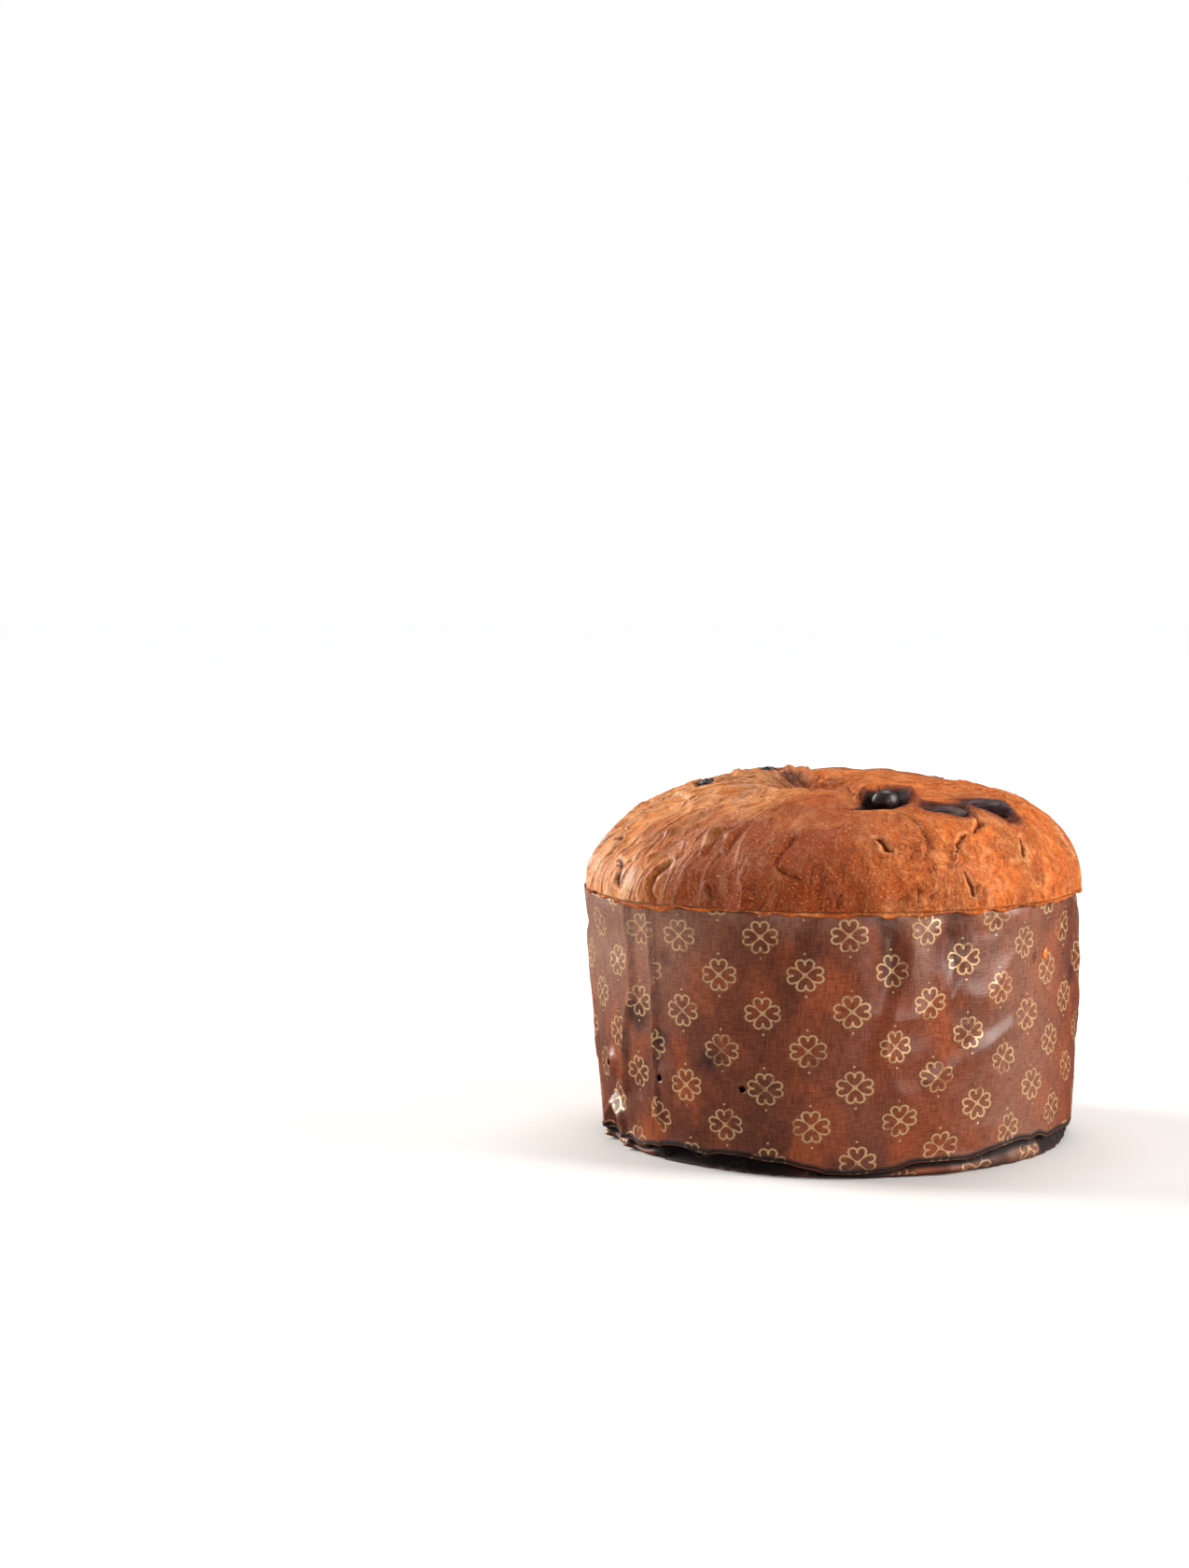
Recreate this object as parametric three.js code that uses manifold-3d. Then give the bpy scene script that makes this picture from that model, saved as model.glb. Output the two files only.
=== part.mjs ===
// A panettone in its paper baking mould: one baked loaf, the raisins that show in its crust,
// the printed paper band round its side and the paper disc under it.
//
// Millimetres, +Z up. The origin is on the surface that the panettone stands on, under the middle
// of its bounding box. -Y is the front and +X is the right-hand side.

import * as THREE from "three";
import { mergeVertices } from "three/addons/utils/BufferGeometryUtils.js";
import Module from "manifold-3d";

const wasm = await Module();
wasm.setup();

// ---------------------------------------------------------------- driving dimensions

const SEGMENTS = 96; // facets round the loaf and the mould

const LOAF_OFFSET_X = 2.5; // the loaf's axis stands this far right of the middle of the bounding box
const WALL_HEIGHT = 87.5; // the paper band, from the table to its top edge
const CRUMB_RADIUS = 82.2; // the loaf inside the mould, at its foot and at the rim
const BARREL = 1.2; // how much wider the loaf is half-way up the mould
const DOME_RADIUS = 84;
const DOME_RISE = 38.2; // top of the crust above the paper's top edge
const DOME_ROUNDNESS = 3.15; // exponent of the dome's outline across
const DOME_CROWN = 2.1; // exponent of the dome's outline upwards

const PAPER = 0.4; // thickness of the band, which is two plies of baking paper, and of the disc
const GAP = 0.3; // clearance between pieces that touch

const LEDGE = 1; // the crust's lower edge, from where it lies on the paper to its widest point
const FOOT_RADIUS = 79.5; // where the band's fold meets the table
const FOLD_HEIGHT = 5; // top of the folded-in corner of the band
const HEM_INNER_RADIUS = 68; // the band's hem reaches this far in under the disc
const DISC_RADIUS = 78;

const FLARE = 6.7; // how far the band leans out at its rim, on the side where it has given way
const FLARE_SIDE = THREE.MathUtils.degToRad(195);
const FLARE_POWER = 1.55;
const CRUMB_FOLLOWS = 0.5; // share of the flare that the crumb behind it fills
const BULGE = 6; // how far the crust's lower edge swells out over the flare
const BULGE_SIDE = THREE.MathUtils.degToRad(208);

const SKEWER_DIAMETER = 3; // the loaf was hung upside down on three skewers to cool
const SKEWER_PITCH = 32;
const SKEWER_HEIGHT = 28.7;
const SKEWER_HEADING = THREE.MathUtils.degToRad(45.6);
const SKEWER_PIT_DEPTH = 7; // how deep the mark in the crumb stays open
const SKEWERS = 3;

const FINISHES = {
  crust: { color: 0xb8642f, roughness: 0.6, metalness: 0 },
  paper: { color: 0x7a3f28, roughness: 0.5, metalness: 0 },
  raisin: { color: 0x1c1613, roughness: 0.35, metalness: 0 },
  peel: { color: 0xc8571a, roughness: 0.3, metalness: 0 },
};

// Swellings and hollows of the crust: centre x and y on the loaf's axis, spread x and y, height.
const CRUST_BUMPS = [
  { x: -10, y: -2, spreadX: 11, spreadY: 10, height: -6.5 }, // the dimple where the skin was cut
  { x: -5, y: -30, spreadX: 40, spreadY: 18, height: -3.2 }, // the lower front
  { x: 58, y: -8, spreadX: 9, spreadY: 16, height: 1.8 }, // the shoulder on the right
  { x: 32, y: 4, spreadX: 14, spreadY: 16, height: -2.8 }, // the shallow valley beside it
  { x: -5, y: 30, spreadX: 30, spreadY: 16, height: 0.9 }, // the higher back
];

// Raisins that show in the crust: centre on the loaf's axis, depth of that centre under the crust,
// half-sizes along, across and up, and heading of the long side.
const RAISINS = [
  { name: "raisin_front", x: 16, y: -42, sunk: 0.3, half: [5, 4.3, 4], heading: 15 },
  { name: "raisin_rear", x: -25, y: 23, sunk: 0.9, half: [4.6, 3.6, 2.9], heading: 30 },
  { name: "raisin_left", x: -46, y: 6, sunk: 1.2, half: [4.4, 3.4, 2.8], heading: 70 },
  { name: "raisin_right_large", x: 50.5, y: -32.5, sunk: 1.8, half: [9.4, 4, 3.2], heading: -20 },
  { name: "raisin_right_small", x: 36, y: -44.5, sunk: 2, half: [7, 3.6, 2.8], heading: -4 },
  { name: "raisin_back_right", x: 36, y: 47, sunk: 0.6, half: [5, 3.8, 3.1], heading: 140 },
  { name: "raisin_back_left", x: -31, y: 57, sunk: 1, half: [5.4, 3.9, 3.1], heading: 35 },
];

// A crumb of candied peel stuck to the band: where it is, and its half-sizes out, round and up.
const PEEL_CRUMB = { angle: 325.5, z: 70.5, half: [0.7, 1.35, 2] };

// The torn hollow round the front raisin, which narrows to a slit on its left.
const HOLLOW = { x: 11, y: -43.5, half: [10.5, 5.2, 3.4], sunk: -1.4, heading: 6 };

// ---------------------------------------------------------------- shapes of the crust and the band

const clamp01 = (v) => Math.min(1, Math.max(0, v));

/** The loaf's radius inside the mould: a shallow barrel. */
function crumbRadius(z) {
  return CRUMB_RADIUS + BARREL * Math.sin(Math.PI * clamp01(z / WALL_HEIGHT));
}

/** How far the band leans out at an angle and a height: nothing, except on one side. */
function flare(theta, z) {
  const facing = clamp01(Math.cos(theta - FLARE_SIDE));
  return FLARE * facing ** 3 * clamp01(z / WALL_HEIGHT) ** FLARE_POWER;
}

/** How far the crust swells out at an angle, given its height as a share of the dome's. */
function bulge(theta, share) {
  const facing = clamp01(Math.cos(theta - BULGE_SIDE));
  return BULGE * facing ** 5 * (1 - THREE.MathUtils.smoothstep(share, 0.1, 0.65));
}

/** Sum of the crust's swellings and hollows at a place on the loaf. */
function crustBump(x, y) {
  return CRUST_BUMPS.reduce((sum, b) => {
    const across = ((x - b.x) / b.spreadX) ** 2;
    const along = ((y - b.y) / b.spreadY) ** 2;
    return sum + b.height * Math.exp(-(across + along) / 2);
  }, 0);
}

/** Height of the crust over a place on the loaf: a superellipse dome with its bumps. */
function crustHeight(x, y) {
  const share = clamp01(Math.hypot(x, y) / DOME_RADIUS);
  const rise = DOME_RISE - LEDGE;
  const dome = rise * (1 - share ** DOME_ROUNDNESS) ** (1 / DOME_CROWN);
  return WALL_HEIGHT + LEDGE + dome + crustBump(x, y) * clamp01((2 * dome) / rise);
}

// ---------------------------------------------------------------- geometry helpers

/** Turns a profile of [radius, height] pairs about the Z axis. */
function turned(profile) {
  const points = profile.map(([radius, height]) => new THREE.Vector2(radius, height));
  return new THREE.LatheGeometry(points, SEGMENTS).rotateX(Math.PI / 2);
}

/** Moves every vertex of a geometry to where move(x, y, z) says. */
function reshaped(geometry, move) {
  const position = geometry.getAttribute("position");
  const at = new THREE.Vector3();
  for (let i = 0; i < position.count; i++) {
    at.fromBufferAttribute(position, i);
    position.setXYZ(i, ...move(at.x, at.y, at.z));
  }
  return geometry;
}

/** A three.js geometry as a manifold-3d solid. */
function solid(geometry) {
  const bare = geometry.clone();
  bare.deleteAttribute("normal");
  bare.deleteAttribute("uv");
  const merged = mergeVertices(bare, 1e-3);
  return new wasm.Manifold(
    new wasm.Mesh({
      numProp: 3,
      vertProperties: merged.getAttribute("position").array,
      triVerts: new Uint32Array(merged.index.array),
    }),
  );
}

/** A manifold-3d solid as a three.js geometry. */
function geometryOf(made) {
  const mesh = made.getMesh();
  const geometry = new THREE.BufferGeometry();
  geometry.setAttribute("position", new THREE.BufferAttribute(mesh.vertProperties, 3));
  geometry.setIndex(new THREE.BufferAttribute(mesh.triVerts, 1));
  geometry.computeVertexNormals();
  return geometry;
}

/** A geometry with others cut out of it. */
function cut(geometry, tools) {
  return geometryOf(tools.reduce((left, tool) => left.subtract(solid(tool)), solid(geometry)));
}

/** An ellipsoid of given half-sizes, turned to a heading and set over a place in the crust. */
function ellipsoid({ x, y, sunk, half, heading }, grow = 0, detail = 3) {
  const [along, across, up] = half.map((h) => h + grow);
  return new THREE.IcosahedronGeometry(1, detail)
    .scale(along, across, up)
    .rotateZ(THREE.MathUtils.degToRad(heading))
    .translate(x, y, crustHeight(x, y) - sunk);
}

/** The cutters of the skewer holes, one at each place where a skewer passes the mould's side. */
function skewerCutters(diameter, depth) {
  const cutters = [];
  for (let i = 0; i < SKEWERS; i++) {
    const offset = (i - (SKEWERS - 1) / 2) * SKEWER_PITCH;
    const reach = Math.sqrt(CRUMB_RADIUS ** 2 - offset ** 2);
    for (const side of [-1, 1]) {
      cutters.push(
        new THREE.CylinderGeometry(diameter / 2, diameter / 2, 2 * depth, 12)
          .rotateZ(Math.PI / 2)
          .translate(side * reach, -offset, SKEWER_HEIGHT)
          .rotateZ(SKEWER_HEADING),
      );
    }
  }
  return cutters;
}

/** Moves every point of a geometry outwards by what spread(theta, radius, z) says. */
function widened(geometry, spread) {
  return reshaped(geometry, (x, y, z) => {
    const radius = Math.hypot(x, y);
    if (radius === 0) return [x, y, z];
    const wider = 1 + spread(Math.atan2(y, x), radius, z) / radius;
    return [x * wider, y * wider, z];
  });
}

/** A named mesh with a material of its own. */
function piece(name, geometry, finish) {
  const mesh = new THREE.Mesh(geometry, new THREE.MeshStandardMaterial(finish));
  mesh.name = name;
  return mesh;
}

// ---------------------------------------------------------------- the pieces

/** The baked loaf: crumb in the mould, crust over its rim, with a pocket round each raisin. */
function loafGeometry() {
  const lip = DOME_RADIUS - 0.4; // the outer edge of the crust's underside, on the paper
  const floor = PAPER + GAP; // over the middle of the disc
  const overHem = floor + PAPER + GAP; // over the disc's outer part, which lies on the hem
  const profile = [
    [0, floor],
    [HEM_INNER_RADIUS - 2.5, floor],
    [HEM_INNER_RADIUS - 0.5, overHem],
    [77.5, overHem],
    [80.2, 3.2],
    [81.8, 7],
  ];
  const sideSteps = 6;
  for (let i = 1; i <= sideSteps; i++) {
    const z = 7 + ((WALL_HEIGHT - 8) * i) / sideSteps;
    profile.push([crumbRadius(z), z]);
  }
  profile.push([crumbRadius(WALL_HEIGHT), WALL_HEIGHT + GAP]);
  profile.push([lip, WALL_HEIGHT + GAP]);
  const domeSteps = 16;
  for (let i = 0; i <= domeSteps; i++) {
    const lift = (Math.PI / 2) * (i / domeSteps);
    const radius = i === domeSteps ? 0 : DOME_RADIUS * Math.cos(lift) ** (2 / DOME_ROUNDNESS);
    const rise = (DOME_RISE - LEDGE) * Math.sin(lift) ** (2 / DOME_CROWN);
    profile.push([radius, WALL_HEIGHT + LEDGE + rise]);
  }
  const upDome = (z) => clamp01((z - WALL_HEIGHT - LEDGE) / (DOME_RISE - LEDGE));
  const spread = (theta, radius, z) => {
    const inMould = radius < lip - 0.01 && z < WALL_HEIGHT + LEDGE;
    return inMould ? CRUMB_FOLLOWS * flare(theta, z) : bulge(theta, upDome(z));
  };
  const dome = (x, y, z) => [x, y, z + crustBump(x, y) * clamp01(2 * upDome(z))];
  return cut(reshaped(widened(turned(profile), spread), dome), [
    ...RAISINS.map((raisin) => ellipsoid(raisin, GAP)),
    ellipsoid(HOLLOW),
    ...skewerCutters(SKEWER_DIAMETER - 0.4, SKEWER_PIT_DEPTH),
  ]);
}

/** The paper band: its side, the fold at its foot and the hem glued in under the disc. */
function wallGeometry() {
  const sideSteps = 6;
  const side = [[CRUMB_RADIUS, FOLD_HEIGHT + 3]];
  for (let i = 1; i <= sideSteps; i++) {
    const z = FOLD_HEIGHT + 3 + ((WALL_HEIGHT - FOLD_HEIGHT - 3) * i) / sideSteps;
    side.push([crumbRadius(z), z]);
  }
  const inner = side.map(([radius, z]) => [radius + GAP, z]);
  const outer = side.map(([radius, z]) => [radius + GAP + PAPER, z]);
  const profile = [
    [HEM_INNER_RADIUS, 0],
    [FOOT_RADIUS, 0],
    [FOOT_RADIUS + 2.2, 1.6],
    [CRUMB_RADIUS + GAP + PAPER - 0.3, FOLD_HEIGHT],
    ...outer,
    ...inner.reverse(),
    [CRUMB_RADIUS + GAP - 0.3, FOLD_HEIGHT],
    [FOOT_RADIUS + 1.8, 2],
    [FOOT_RADIUS - 0.2, PAPER],
    [HEM_INNER_RADIUS, PAPER],
  ];
  profile.push(profile[0]);
  const wall = widened(turned(profile), (theta, _radius, z) => flare(theta, z));
  return cut(wall, skewerCutters(SKEWER_DIAMETER, SKEWER_PIT_DEPTH));
}

/** The paper disc under the loaf: flat on the table, stepped up over the hem round its edge. */
function discGeometry() {
  const step = PAPER + GAP;
  const inside = HEM_INNER_RADIUS - GAP;
  return turned([
    [0, 0],
    [inside - 1, 0],
    [inside, step],
    [DISC_RADIUS, step],
    [DISC_RADIUS, step + PAPER],
    [inside - 0.4, step + PAPER],
    [inside - 1.4, PAPER],
    [0, PAPER],
  ]);
}

/** The crumb of peel, which lies against the outside of the band. */
function crumbGeometry() {
  const [out, round, up] = PEEL_CRUMB.half;
  const angle = THREE.MathUtils.degToRad(PEEL_CRUMB.angle);
  const paperFace = crumbRadius(PEEL_CRUMB.z) + GAP + PAPER + flare(angle, PEEL_CRUMB.z);
  return new THREE.IcosahedronGeometry(1, 2)
    .scale(out, round, up)
    .translate(paperFace + GAP + out, 0, PEEL_CRUMB.z)
    .rotateZ(angle);
}

const panettone = new THREE.Group();
panettone.position.x = LOAF_OFFSET_X;
panettone.add(
  piece("loaf", loafGeometry(), FINISHES.crust),
  piece("mould_wall", wallGeometry(), FINISHES.paper),
  piece("mould_base", discGeometry(), FINISHES.paper),
  ...RAISINS.map((raisin) => piece(raisin.name, ellipsoid(raisin), FINISHES.raisin)),
  piece("peel_crumb", crumbGeometry(), FINISHES.peel),
);

export default panettone;
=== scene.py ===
"""A panettone in its printed paper mould: crust, paper, raisins, and the table and light round it.

Shapes are worked out in millimetres with the loaf's own axis at x = y = 0, and `to_metres` puts
them in the part's frame. -Y is the front. A bearing is an angle seen from above, anticlockwise
from +X, so the front is at 270 degrees. The crust is laid out by bearing and run, where the run
is the distance from the top of the dome along the crust. The band is laid out by arc and height,
where the arc is the distance round the mould from the glued edge of the paper.
"""

import math

import bpy
import numpy as np
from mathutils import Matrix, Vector


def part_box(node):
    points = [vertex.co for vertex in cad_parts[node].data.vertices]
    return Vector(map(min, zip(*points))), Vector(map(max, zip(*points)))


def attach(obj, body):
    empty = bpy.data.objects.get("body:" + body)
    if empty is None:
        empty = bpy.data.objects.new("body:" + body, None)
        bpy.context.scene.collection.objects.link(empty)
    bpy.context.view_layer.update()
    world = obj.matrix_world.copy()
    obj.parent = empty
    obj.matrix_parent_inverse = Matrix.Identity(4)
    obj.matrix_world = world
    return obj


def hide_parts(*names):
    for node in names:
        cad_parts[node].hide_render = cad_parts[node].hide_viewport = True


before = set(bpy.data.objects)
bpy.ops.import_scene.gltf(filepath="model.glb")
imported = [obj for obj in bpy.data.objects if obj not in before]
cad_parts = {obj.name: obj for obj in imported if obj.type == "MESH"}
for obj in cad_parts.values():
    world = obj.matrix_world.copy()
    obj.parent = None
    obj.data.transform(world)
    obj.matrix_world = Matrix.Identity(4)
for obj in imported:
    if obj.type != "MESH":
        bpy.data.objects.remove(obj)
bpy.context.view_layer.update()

bl_info = {
    "name": "Panettone in a paper mould",
    "version": (1, 0, 0),
    "blender": (4, 5, 0),
    "location": "3D View > Sidebar > Panettone",
    "description": "Builds the crust, printed paper, raisins and stage round the packed part",
    "category": "Object",
}

# ---------------------------------------------------------------- sizes taken from the frame

MM = 0.001


def node_box(node):
    """Lowest and highest corners of a CAD node, in millimetres."""
    low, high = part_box(node)
    return np.array(low) / MM, np.array(high) / MM


AXIS = sum(node_box("mould_base")) / 2 * (1, 1, 0)  # the middle of the round base, on the table
RIM = node_box("mould_wall")[1][2]  # height of the paper's top edge
FRONT = math.radians(270)

# ---------------------------------------------------------------- the part's own dimensions

# Lengths are in millimetres, as in the part's source. Only the skewers' pits are less deep here.
CRUMB_RADIUS = 82.2  # the loaf inside the mould, at its foot and at the rim
BARREL = 1.2  # how much wider the loaf is half-way up the mould
DOME_RADIUS = 84.0
DOME_RISE = 38.2  # top of the crust above the paper's top edge
DOME_ROUNDNESS = 3.15  # exponent of the dome's outline across
DOME_CROWN = 2.1  # exponent of the dome's outline upwards
PAPER = 0.4  # thickness of the band and of the disc
GAP = 0.3  # clearance between pieces that touch
LEDGE = 1.0  # the crust's lower edge, from where it lies on the paper to its widest point
FOOT_RADIUS = 79.5  # where the band's fold meets the table
HEM_INNER_RADIUS = 68.0  # the band's hem reaches this far in under the disc
FLARE = 6.7  # how far the band leans out at its rim, on the side where it has given way
FLARE_BEARING = math.radians(195)
FLARE_POWER = 1.55
CRUMB_FOLLOWS = 0.5  # share of the flare that the crumb behind it fills
BULGE = 6.0  # how far the crust's lower edge swells out over the flare
BULGE_BEARING = math.radians(208)
SKEWER_PITCH = 32.0  # the loaf was hung upside down on three skewers to cool
SKEWER_HEIGHT = 28.7
SKEWER_HEADING = math.radians(45.6)
SKEWER_RADIUS = 1.5
SKEWER_PIT = 6.5  # how deep the mark in the crumb stays open

# Swellings and hollows of the crust: x, y, spread along x, spread along y, height.
CRUST_BUMPS = (
    (-10, -2, 11, 10, -6.5),
    (-5, -30, 40, 18, -3.2),
    (58, -8, 9, 16, 1.8),
    (32, 4, 14, 16, -2.8),
    (-5, 30, 30, 16, 0.9),
)

# Raisins by node: half-sizes along, across and up, heading in degrees, bend of the long axis,
# depth of wrinkles.
RAISINS = {
    "raisin_front": ((4.9, 4.3, 3.9), 15, 0.0, 0.0),
    "raisin_rear": ((4.6, 3.6, 2.9), 30, 0.1, 0.1),
    "raisin_left": ((4.4, 3.4, 2.8), 70, 0.0, 0.12),
    "raisin_right_large": ((9.8, 4.4, 3.7), -20, -0.8, 0.03),
    "raisin_right_small": ((7.0, 3.6, 2.7), -4, 0.15, 0.02),
    "raisin_back_right": ((5.0, 3.8, 3.1), 140, 0.1, 0.12),
    "raisin_back_left": ((5.4, 3.9, 3.1), 35, 0.2, 0.12),
}

CHARRED = ("raisin_right_large", "raisin_right_small")

# How far a raisin stands above its CAD node, so that it shows over the crust's hollow.
RAISIN_LIFT = {"raisin_front": 0.5, "raisin_right_large": 1.3, "raisin_right_small": 0.6}

HOLE_RADIUS = SKEWER_RADIUS - 0.3
HOLE_RINGS = 2  # cells from the middle of a skewer hole to its edge
FAR = 10_000  # the ring number of a place that lies near no hole

# ---------------------------------------------------------------- number helpers


def smooth(low, high, value):
    """0 below low, 1 above high, and an even S between them."""
    share = np.clip((value - low) / (high - low), 0.0, 1.0)
    return share * share * (3 - 2 * share)


def bell(value, centre, spread):
    """A bell curve, 1 at its centre."""
    return np.exp(-(((value - centre) / spread) ** 2) / 2)


def turned_by(a, b, around=2 * math.pi):
    """Smallest signed step from b to a, as angles, or as places on a line that closes round."""
    return (a - b + around / 2) % around - around / 2


def lattice(cells, seed):
    """A steady random value from -1 to 1 for each whole-number cell, by mixing its three numbers."""
    mixed = cells[..., 0] * 374761393 + cells[..., 1] * 668265263 + cells[..., 2] * 1442695041
    mixed = (mixed + seed * 1274126177) & 0xFFFFFFFF
    mixed = ((mixed ^ (mixed >> 13)) * 1274126177) & 0xFFFFFFFF
    return ((mixed ^ (mixed >> 16)) & 0xFFFF) / 32767.5 - 1


def noise(points, size, seed=0):
    """Smooth noise: the eight lattice values round each point, blended along S-curves."""
    scaled = np.asarray(points) / size
    cell = np.floor(scaled).astype(np.int64)
    share = scaled - cell
    share = share**3 * (share * (share * 6 - 15) + 10)
    total = 0.0
    for corner in np.ndindex(2, 2, 2):
        weight = np.prod(np.where(np.array(corner) == 1, share, 1 - share), axis=-1)
        total = total + weight * lattice(cell + np.array(corner), seed)
    return total


def fractal(points, size, octaves, seed=0):
    """Noise summed at halving sizes, each half as strong as the one before."""
    layers = [noise(points, size / 2**k, seed + 17 * k) / 2**k for k in range(octaves)]
    return sum(layers) / sum(0.5**k for k in range(octaves))


def stack(*parts):
    """Joins arrays of coordinates into one array of points."""
    return np.stack(np.broadcast_arrays(*parts), axis=-1)


def polar(radius, bearing, height=0.0):
    """Points at some distances from the loaf's axis, bearings and heights."""
    return stack(radius * np.cos(bearing), radius * np.sin(bearing), height)


def rings(bearing, *shape):
    """Rows of points round the axis, one for each radius and height of a shape."""
    return np.stack([polar(radius, bearing, height) for radius, height in shape])


def turned(points, angle):
    """Points turned about the vertical axis."""
    x, y, z = points.T
    sin, cos = math.sin(angle), math.cos(angle)
    return stack(x * cos - y * sin, x * sin + y * cos, z)


def from_path(x, y, path, radii):
    """How far each place lies from a path, in shares of the path's own half-width there: 0 on it."""
    best = np.full(np.shape(x), 1e9)
    for (ax, ay), (bx, by), ra, rb in zip(path, path[1:], radii, radii[1:]):
        length2 = (bx - ax) ** 2 + (by - ay) ** 2
        share = np.clip(((x - ax) * (bx - ax) + (y - ay) * (by - ay)) / length2, 0, 1)
        gap = np.hypot(x - ax - share * (bx - ax), y - ay - share * (by - ay))
        best = np.minimum(best, gap / (ra + share * (rb - ra)))
    return best


def laid_flat(bearing_degrees, run):
    """The place on the flattened crust at a bearing and a run."""
    angle = math.radians(bearing_degrees)
    return run * math.cos(angle), run * math.sin(angle)


# ---------------------------------------------------------------- meshes


def to_metres(points):
    """Loaf-axis millimetres to the part's frame in metres."""
    return (np.asarray(points, float) + AXIS) * MM


def grid_normals(points):
    """Outward normals of a grid whose rows run down and whose columns go round, by differences."""
    down = np.gradient(points, axis=0)
    along = (np.roll(points, -1, axis=1) - np.roll(points, 1, axis=1)) / 2
    normals = np.cross(down, along)
    return normals / np.maximum(np.linalg.norm(normals, axis=-1, keepdims=True), 1e-9)


def round_faces(rows, columns, start=0):
    """Corner numbers of the quads of a grid that closes round, facing out where rows run down."""
    top = start + np.arange(rows - 1)[:, None] * columns
    here = np.arange(columns)
    after = (here + 1) % columns
    quads = (top + here, top + columns + here, top + columns + after, top + after)
    return np.stack(quads, axis=-1).reshape(-1, 4)


def cap_faces(pole, ring, facing_up):
    """Triangles from a pole to a ring of corners."""
    after = np.roll(ring, -1)
    order = (ring, after) if facing_up else (after, ring)
    return np.stack([np.full_like(ring, pole), *order], axis=-1)


def put_in_scene(name, data):
    """A new object in the scene."""
    made = bpy.data.objects.new(name, data)
    bpy.context.scene.collection.objects.link(made)
    return made


def make_piece(name, points, quads, triangles, corner_maps, point_values):
    """A mesh object from arrays: corner_maps are UV maps, point_values are attributes of corners."""
    mesh = bpy.data.meshes.new(name)
    mesh.vertices.add(len(points))
    mesh.vertices.foreach_set("co", to_metres(points).astype(np.float32).ravel())
    corners = np.concatenate([quads.ravel(), triangles.ravel()])
    mesh.loops.add(len(corners))
    mesh.loops.foreach_set("vertex_index", corners.astype(np.int32))
    starts = np.concatenate([np.arange(len(quads)) * 4, quads.size + np.arange(len(triangles)) * 3])
    mesh.polygons.add(len(starts))
    mesh.polygons.foreach_set("loop_start", starts.astype(np.int32))
    mesh.update(calc_edges=True)
    for label, places in corner_maps.items():
        layer = mesh.uv_layers.new(name=label)
        layer.uv.foreach_set("vector", np.asarray(places, np.float32).ravel())
    for label, values in point_values.items():
        values = np.asarray(values, np.float32)
        kind, key = ("FLOAT", "value") if values.ndim == 1 else ("FLOAT_VECTOR", "vector")
        mesh.attributes.new(label, kind, "POINT").data.foreach_set(key, values.ravel())
    mesh.shade_smooth()
    return put_in_scene(name, mesh)


def stands_for(piece, node, slot, *materials):
    """Puts a finished piece in the place of its CAD node."""
    for material in materials:
        piece.data.materials.append(material)
    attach(piece, "root")
    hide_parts(node)


# ---------------------------------------------------------------- shader helpers


def paint(colour):
    """A hex colour or a colour setting as the linear values that a shader takes."""
    if not isinstance(colour, str):
        return (*colour, 1.0)
    shares = [int(colour[i : i + 2], 16) / 255 for i in (0, 2, 4)]
    linear = [s / 12.92 if s <= 0.04045 else ((s + 0.055) / 1.055) ** 2.4 for s in shares]
    return (*linear, 1.0)


def feed(tree, made, inputs):
    """Joins or sets the inputs of a node."""
    for key, value in inputs.items():
        if isinstance(value, bpy.types.NodeSocket):
            tree.links.new(value, made.inputs[key])
        else:
            made.inputs[key].default_value = value
    return made


def node(tree, kind, inputs=None, **options):
    """Adds a shader node, sets its options and joins or sets its inputs."""
    made = tree.nodes.new("ShaderNode" + kind)
    for key, value in options.items():
        setattr(made, key, value)
    return feed(tree, made, inputs or {})


def calc(tree, operation, *values, clamp=False):
    """The result of a Math node."""
    inputs = dict(enumerate(values))
    return node(tree, "Math", inputs, operation=operation, use_clamp=clamp).outputs[0]


def vector_calc(tree, operation, *values):
    """The result of a Vector Math node, as a number for the operations that give one."""
    made = node(tree, "VectorMath", dict(enumerate(values)), operation=operation)
    return made.outputs[1 if operation in ("DISTANCE", "LENGTH", "DOT_PRODUCT") else 0]


def fade(tree, value, low, high, to_low=0.0, to_high=1.0):
    """A value's even S-shaped change from to_low, at low, to to_high, at high."""
    inputs = {"Value": value, "From Min": low, "From Max": high, "To Min": to_low, "To Max": to_high}
    return node(tree, "MapRange", inputs, interpolation_type="SMOOTHSTEP").outputs["Result"]


def mixed(tree, share, first, second):
    """Two colours mixed."""
    return node(tree, "Mix", {0: share, 6: first, 7: second}, data_type="RGBA").outputs[2]


def layered(tree, colour, *layers):
    """A colour with layers over it: what each follows, where it starts and is full, its most, its paint."""
    for value, start, full, most, code in layers:
        colour = mixed(tree, fade(tree, value, start, full, 0.0, most), colour, paint(code))
    return colour


def grain(tree, vector, scale, detail=2.0, roughness=0.5, distortion=0.0):
    """A noise texture's value."""
    keys = ("Vector", "Scale", "Detail", "Roughness", "Distortion")
    inputs = dict(zip(keys, (vector, scale, detail, roughness, distortion)))
    return node(tree, "TexNoise", inputs).outputs["Fac"]


def stretched(tree, vector, scale, turn=0.0, shift=(0.0, 0.0, 0.0)):
    """Coordinates scaled, turned about Z and shifted."""
    inputs = {"Vector": vector, "Scale": scale, "Rotation": (0, 0, turn), "Location": shift}
    return node(tree, "Mapping", inputs).outputs[0]


def object_mm(tree):
    """A piece's object coordinates in millimetres."""
    return stretched(tree, node(tree, "TexCoord").outputs["Object"], (1000, 1000, 1000))


def point_value(tree, name):
    """A number kept at each corner of the piece's mesh."""
    return node(tree, "Attribute", attribute_name=name).outputs["Fac"]


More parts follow.
